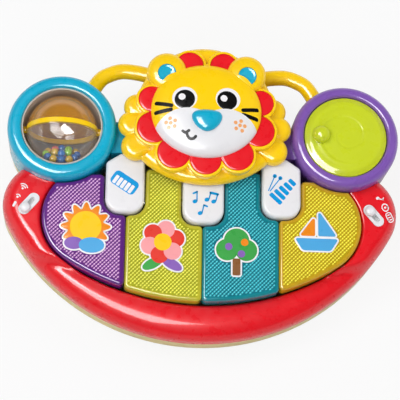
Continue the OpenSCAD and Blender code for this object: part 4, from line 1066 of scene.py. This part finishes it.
def make_face():
    cutter = prism(muzzle_outline(), FACE_Z - 3, FACE_Z + 30)
    head = carve(face_dome("face"), [cutter])
    piece("lion_head", head, face_yellow, "yellow_plastic", "lion_face")
    outlines = [inset(inlay_outline(side), -POCKET_GAP) for side, _ in SIDES]
    pockets = [patch(outline, ear_z, POCKET_TOP, POCKET_DEPTH, 2) for outline in outlines]
    ears = carve(to_mesh("ears", *join([ear(side) for side, _ in SIDES])), pockets)
    piece("lion_ears", ears, yellow, "yellow_plastic", sharp=50)
    snout = carve(face_dome("snout", MUZZLE_LIFT), [cutter], "INTERSECT")
    piece("lion_snout", snout, white, "white_plastic", "lion_muzzle", sharp=30)


def make_nose():
    foot = dome_z(NOSE_AT[0], NOSE_AT[1] - NOSE_FOOT) + NOSE_RIM
    rings = []
    for a in quarter(24, first=-4, short=TOP_GAP):
        w, h, z = NOSE_SIZE[0] * cos(a), NOSE_SIZE[1] * cos(a), foot + NOSE_SIZE[2] * sin(a)
        rings.append([(NOSE_AT[0] + w * x * (1 + NOSE_TAPER * y),
                       NOSE_AT[1] + h * (y + NOSE_FLAT * (x * x - y * y)), z)
                      for x, y in disc((0, 0), 1, n=72)])
    piece("lion_nose_tip", loft(rings), blue, "blue_plastic", "lion_nose", sharp=60)


make_inlays()
make_face()
make_nose()

# Prints on the face; each eye has the middles of its white, its pupil and its spark
EYES = {"left": ((-18.7, 67), (-18.6, 65.9), (-20.9, 68)), "right": ((16.8, 67.3), (16, 66), (13.4, 67.6))}
EYE_SIZE, PUPIL_R, SPARK_R = (10.2, 9.9), 8.3, 2.9
PUPIL_LIFT, SPARK_LIFT, LINE_LIFT, FRECKLE_LIFT = 0.18, 0.26, 0.12, 0.08
WHISKERS = (((-41.3, 63.1), (-29.4, 60.5)), ((-41.5, 54.9), (-29.7, 57)),
            ((29.5, 58.7), (41.3, 60.6)), ((29.5, 54.9), (40.9, 52.5)))
FRECKLES = ((-30.2, 49.4), (-26.1, 47.5), (-33.3, 46.1), (-29.6, 45.6), (-26.4, 42.9), (-31, 42),
            (23.3, 47.6), (27.8, 49.2), (27, 45.6), (31, 45.4), (23.8, 42.8), (28.9, 41.5))
LIP = ((-19.8, 38.9), (-17.5, 37.7), (-14.7, 39.2))
SMILE = ((-16.4, 37.8), (-15.9, 35.4), (-13.9, 32.9), (-10.9, 32.9), (-9.1, 34.6))
WHISKER_W, FRECKLE_R, MOUTH_W = 3.3, 1.55, 2.3


def face_print(name, shape, tone):
    piece(name, shape, ink[tone], tone + "_plastic")


def make_eyes():
    for side, (outer, pupil, spark) in EYES.items():
        face_print("eye_white_" + side, patch(disc(outer, *EYE_SIZE), dome_z), "white")
        face_print("eye_pupil_" + side, patch(disc(pupil, PUPIL_R), dome_z, PUPIL_LIFT), "black")
        face_print("eye_spark_" + side, patch(disc(spark, SPARK_R), dome_z, SPARK_LIFT), "white")


def make_face_lines():
    whiskers = [stroke(bend(a, b), WHISKER_W, dome_z, LINE_LIFT) for a, b in WHISKERS]
    face_print("whiskers", join(whiskers), "black")
    dots = [patch(disc(c, FRECKLE_R, n=20), muzzle_z, FRECKLE_LIFT, rings=2) for c in FRECKLES]
    piece("freckles", join(dots), ink["freckle"], "yellow_plastic")
    mouth = [stroke(curved(LIP), MOUTH_W, muzzle_z), stroke(curved(SMILE), MOUTH_W, muzzle_z, LINE_LIFT)]
    face_print("mouth", join(mouth), "black")


make_eyes()
make_face_lines()

# Dial: a crowned disc with a spiral ridge and a finger knob
DISC_R, DISC_H, DISC_CROWN, DISC_RIM = 34.5, 5, 1.8, 8
DISC_LOW = RING_Z - DISC_H - 1.5
DISC_STEPS, DISC_RINGS = 192, 72
SPIRAL_PITCH, SPIRAL_RISE, SPIRAL_EDGE, RIM_DROP = 13, 0.8, 5, 2
SPIRAL_IN, SPIRAL_OUT = (5, 6), (7, 5)
KNOB_R, KNOB_X, KNOB_NECK, NECK_H, KNOB_MID, SHAFT_R = 7.5, 21, 0.85, 1.2, 2.5, 6


def disc_z(r, a):
    """Height of the disc's top: crown, rounded rim and a spiral ridge that fades at both ends."""
    k = r / DISC_R
    z = DISC_LOW + DISC_H + DISC_CROWN * (1 - k * k)
    turn = (r / SPIRAL_PITCH - a / tau) % 1
    fade = smooth((r - SPIRAL_IN[0]) / SPIRAL_IN[1]) * smooth((DISC_R - SPIRAL_OUT[0] - r) / SPIRAL_OUT[1])
    ridge = SPIRAL_RISE * (1 - turn) * fade * smooth(turn * SPIRAL_EDGE)
    return z + ridge - RIM_DROP * smooth((r - (DISC_R - DISC_RIM)) / DISC_RIM) ** 2


def dial_disc():
    n = DISC_STEPS
    rings = [at(disc(RING_AT, DISC_R - 0.5, n=n), DISC_LOW), at(disc(RING_AT, DISC_R, n=n), DISC_LOW + 0.6)]
    for j in range(DISC_RINGS):
        r = DISC_R * (1 - j / DISC_RINGS)
        rings.append([polar(r, tau * i / n, RING_AT) + (disc_z(r, tau * i / n),) for i in range(n)])
    return loft(rings)


def finger_knob():
    c = (RING_AT[0] - KNOB_X, RING_AT[1])
    base = DISC_LOW + DISC_H
    levels = [(KNOB_NECK, -1), (KNOB_NECK, NECK_H)]
    levels += [(KNOB_NECK + (1 - KNOB_NECK) * sin(pi * i / 8), NECK_H + 0.3 * i) for i in range(1, 5)]
    levels += [(cos(a), KNOB_MID + (KNOB_R - 0.1) * sin(a)) for a in quarter(12)[:-1]]
    rings = [at(disc(c, KNOB_R * k), base + z) for k, z in levels]
    return loft(rings + [at(disc(c, 0.2), base + KNOB_MID - 0.1 + KNOB_R)])


def make_dial():
    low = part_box("dial_disc")[0][2] / MM
    shaft = prism(disc(RING_AT, SHAFT_R), low, DISC_LOW + 1)
    dial = join([dial_disc(), shaft, finger_knob()])
    piece("dial_face", dial, lime, "lime_plastic", "dial_disc", body="dial", sharp=60)


make_dial()

# Handle: a round grip from ring to ring
HANDLE_R, HANDLE_ANGLE = 6.5, radians(58)
HANDLE_END = (RING_AT[0] - RING_R * cos(HANDLE_ANGLE) + 3, RING_AT[1] + RING_R * sin(HANDLE_ANGLE) - 5)
HANDLE_POINTS = [(0, 96), (26, 97.5), (46, 101.5), (58, 103.8), (70, 104.3), (80, 101), (88, 95.5),
                 HANDLE_END]


def make_handle():
    route = curved(flip(HANDLE_POINTS) + HANDLE_POINTS[1:])
    rings = []
    for i, p in enumerate(route):
        a, b = route[max(0, i - 1)], route[min(len(route) - 1, i + 1)]
        rings.append(tube_ring(p, Vector((b[0] - a[0], b[1] - a[1])).normalized(), HANDLE_R))
    tools = [ring_room(side, 2 * RING_Z) for side, _ in SIDES]
    grip = carve(to_mesh("grip", *loft(rings)), tools)
    piece("handle_grip", grip, yellow, "yellow_plastic", "handle")


make_handle()

# Slide switches: the contact carrier under each knob, and the signs beside the slots
SLOT_W = 4.2
CARRIER_TOP, CARRIER_LOW, CARRIER_GAP = WING_Z - 4.7, WING_Z - 6.6, 0.1
wing_top = flat(WING_Z)
SIGN_W, SIGN_DOT = 0.9, 0.9

# Volume signs: a dot with sound waves of these radii, from loud to soft, and a bar for off
WAVES = (((-148.2, -4), (2.2, 4)), ((-152, -11.4), (2.2,)))
OFF_AT, OFF_TURN = (-154.2, -17.6), radians(-25)

# Mode signs: a note, a ring with a dot and a keyboard
NOTE_AT, NOTE_STEM, NOTE_FLAG = (146.2, -1.5), ((147.2, -2), (150.6, -2.6)), ((150.2, -2.6), (151, -1))
RING_SIGN_AT, RING_SIGN_SIZE, RING_SIGN_TURN = (152.3, -9.4), (2.6, 3.2), 0.4
KEYS_SIGN_AT, KEYS_SIGN_TURN, KEYS_SIGN_PITCH = (155.9, -17.8), radians(24), 2.2


def make_carriers():
    width = SLOT_W - 2 * CARRIER_GAP
    for side, name in SIDES:
        outline = slide_oval(side, SLIDE_TRAVEL + width, width, CARRIER_END)
        carrier = prism(outline, CARRIER_LOW, CARRIER_TOP)
        piece("slide_carrier_" + name, carrier, pale, "white_plastic")


def sign_dot(c):
    return patch(disc(c, SIGN_DOT, n=20), wing_top, rings=2)


def make_volume_signs():
    parts = []
    for c, sizes in WAVES:
        parts.append(sign_dot(c))
        parts += [stroke(arc(c, r, radians(10), radians(110), 10), SIGN_W, wing_top) for r in sizes]
    parts.append(patch(rounded_box(OFF_AT, 2, 5, 0.9, OFF_TURN), wing_top))
    piece("signs_left", join(parts), ink["white"], "white_plastic")


def make_mode_signs():
    parts = [patch(disc(NOTE_AT, 1.6, 1.2, NOTE_TILT), wing_top)]
    parts += [stroke(line, SIGN_W, wing_top) for line in (NOTE_STEM, NOTE_FLAG)]
    oval = disc(RING_SIGN_AT, *RING_SIGN_SIZE, RING_SIGN_TURN, 30)
    parts += [stroke(oval + oval[:1], SIGN_W, wing_top), sign_dot(RING_SIGN_AT)]
    edge = rounded_box(KEYS_SIGN_AT, 4.4, 8.4, 1.8, KEYS_SIGN_TURN)
    parts.append(stroke(edge + edge[:1], 0.8, wing_top))
    for k in (-1, 0, 1):
        c = turned((0, KEYS_SIGN_PITCH * k), KEYS_SIGN_AT, KEYS_SIGN_TURN)
        parts.append(patch(rounded_box(c, 2.4, 0.9, 0.3, KEYS_SIGN_TURN), wing_top, rings=2))
    piece("signs_right", join(parts), ink["white"], "white_plastic")


make_carriers()
make_volume_signs()
make_mode_signs()

# Finish of the CAD nodes that stay
FINISHES = (
    (cream, "base_shell battery_door"),
    (blue, "ball_ring"),
    (purple, "dial_ring"),
    (liner, "ball_cup"),
    (amber, "ball_half_amber"),
    (glass, "ball_half_clear key_leds"),
    (yellow, "ball_band"),
    (steel, "pivot_rod ratchet_screw click_spring case_screws battery_door_screw battery_contacts"),
    (steel, "speaker_magnet"),
    (cell, "batteries"),
    (board, "main_board"),
    (rubber, "contact_domes rubber_feet"),
    (black, "speaker_cone speaker_frame"),
    (pale, "volume_switch mode_switch"),
    (white, "volume_bezel mode_bezel volume_knob mode_knob"),
)
node_looks = {name: look for look, names in FINISHES for name in names.split()}
node_looks.update({"beads_" + tone: look for tone, look in bead_looks.items()})
SHARP_EDGE, WELD = radians(32), 1e-6


def smooth_edges():
    """A modifier's nodes: smooth shading, with sharp edges kept."""
    group = bpy.data.node_groups.new("smooth_edges", "GeometryNodeTree")
    for way in ("INPUT", "OUTPUT"):
        group.interface.new_socket("Geometry", in_out=way, socket_type="NodeSocketGeometry")
    start = add(group, "NodeGroupInput")
    weld = add(group, "GeometryNodeMergeByDistance", start.outputs[0], Distance=WELD)
    faces = add(group, "GeometryNodeSetShadeSmooth", weld.outputs[0])
    fold = add(group, "GeometryNodeInputMeshEdgeAngle").outputs["Unsigned Angle"]
    small = add(group, "FunctionNodeCompare", fold, SHARP_EDGE, operation="LESS_THAN")
    edges = add(group, "GeometryNodeSetShadeSmooth", faces.outputs[0], Shade_Smooth=small.outputs[0],
                domain="EDGE")
    add(group, "NodeGroupOutput", edges.outputs[0])
    return group


def dress_nodes():
    group = smooth_edges()
    for name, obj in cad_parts.items():
        for slot in obj.material_slots:
            slot.material = node_looks.get(name, inner)
        obj.modifiers.new("smooth", "NODES").node_group = group


dress_nodes()
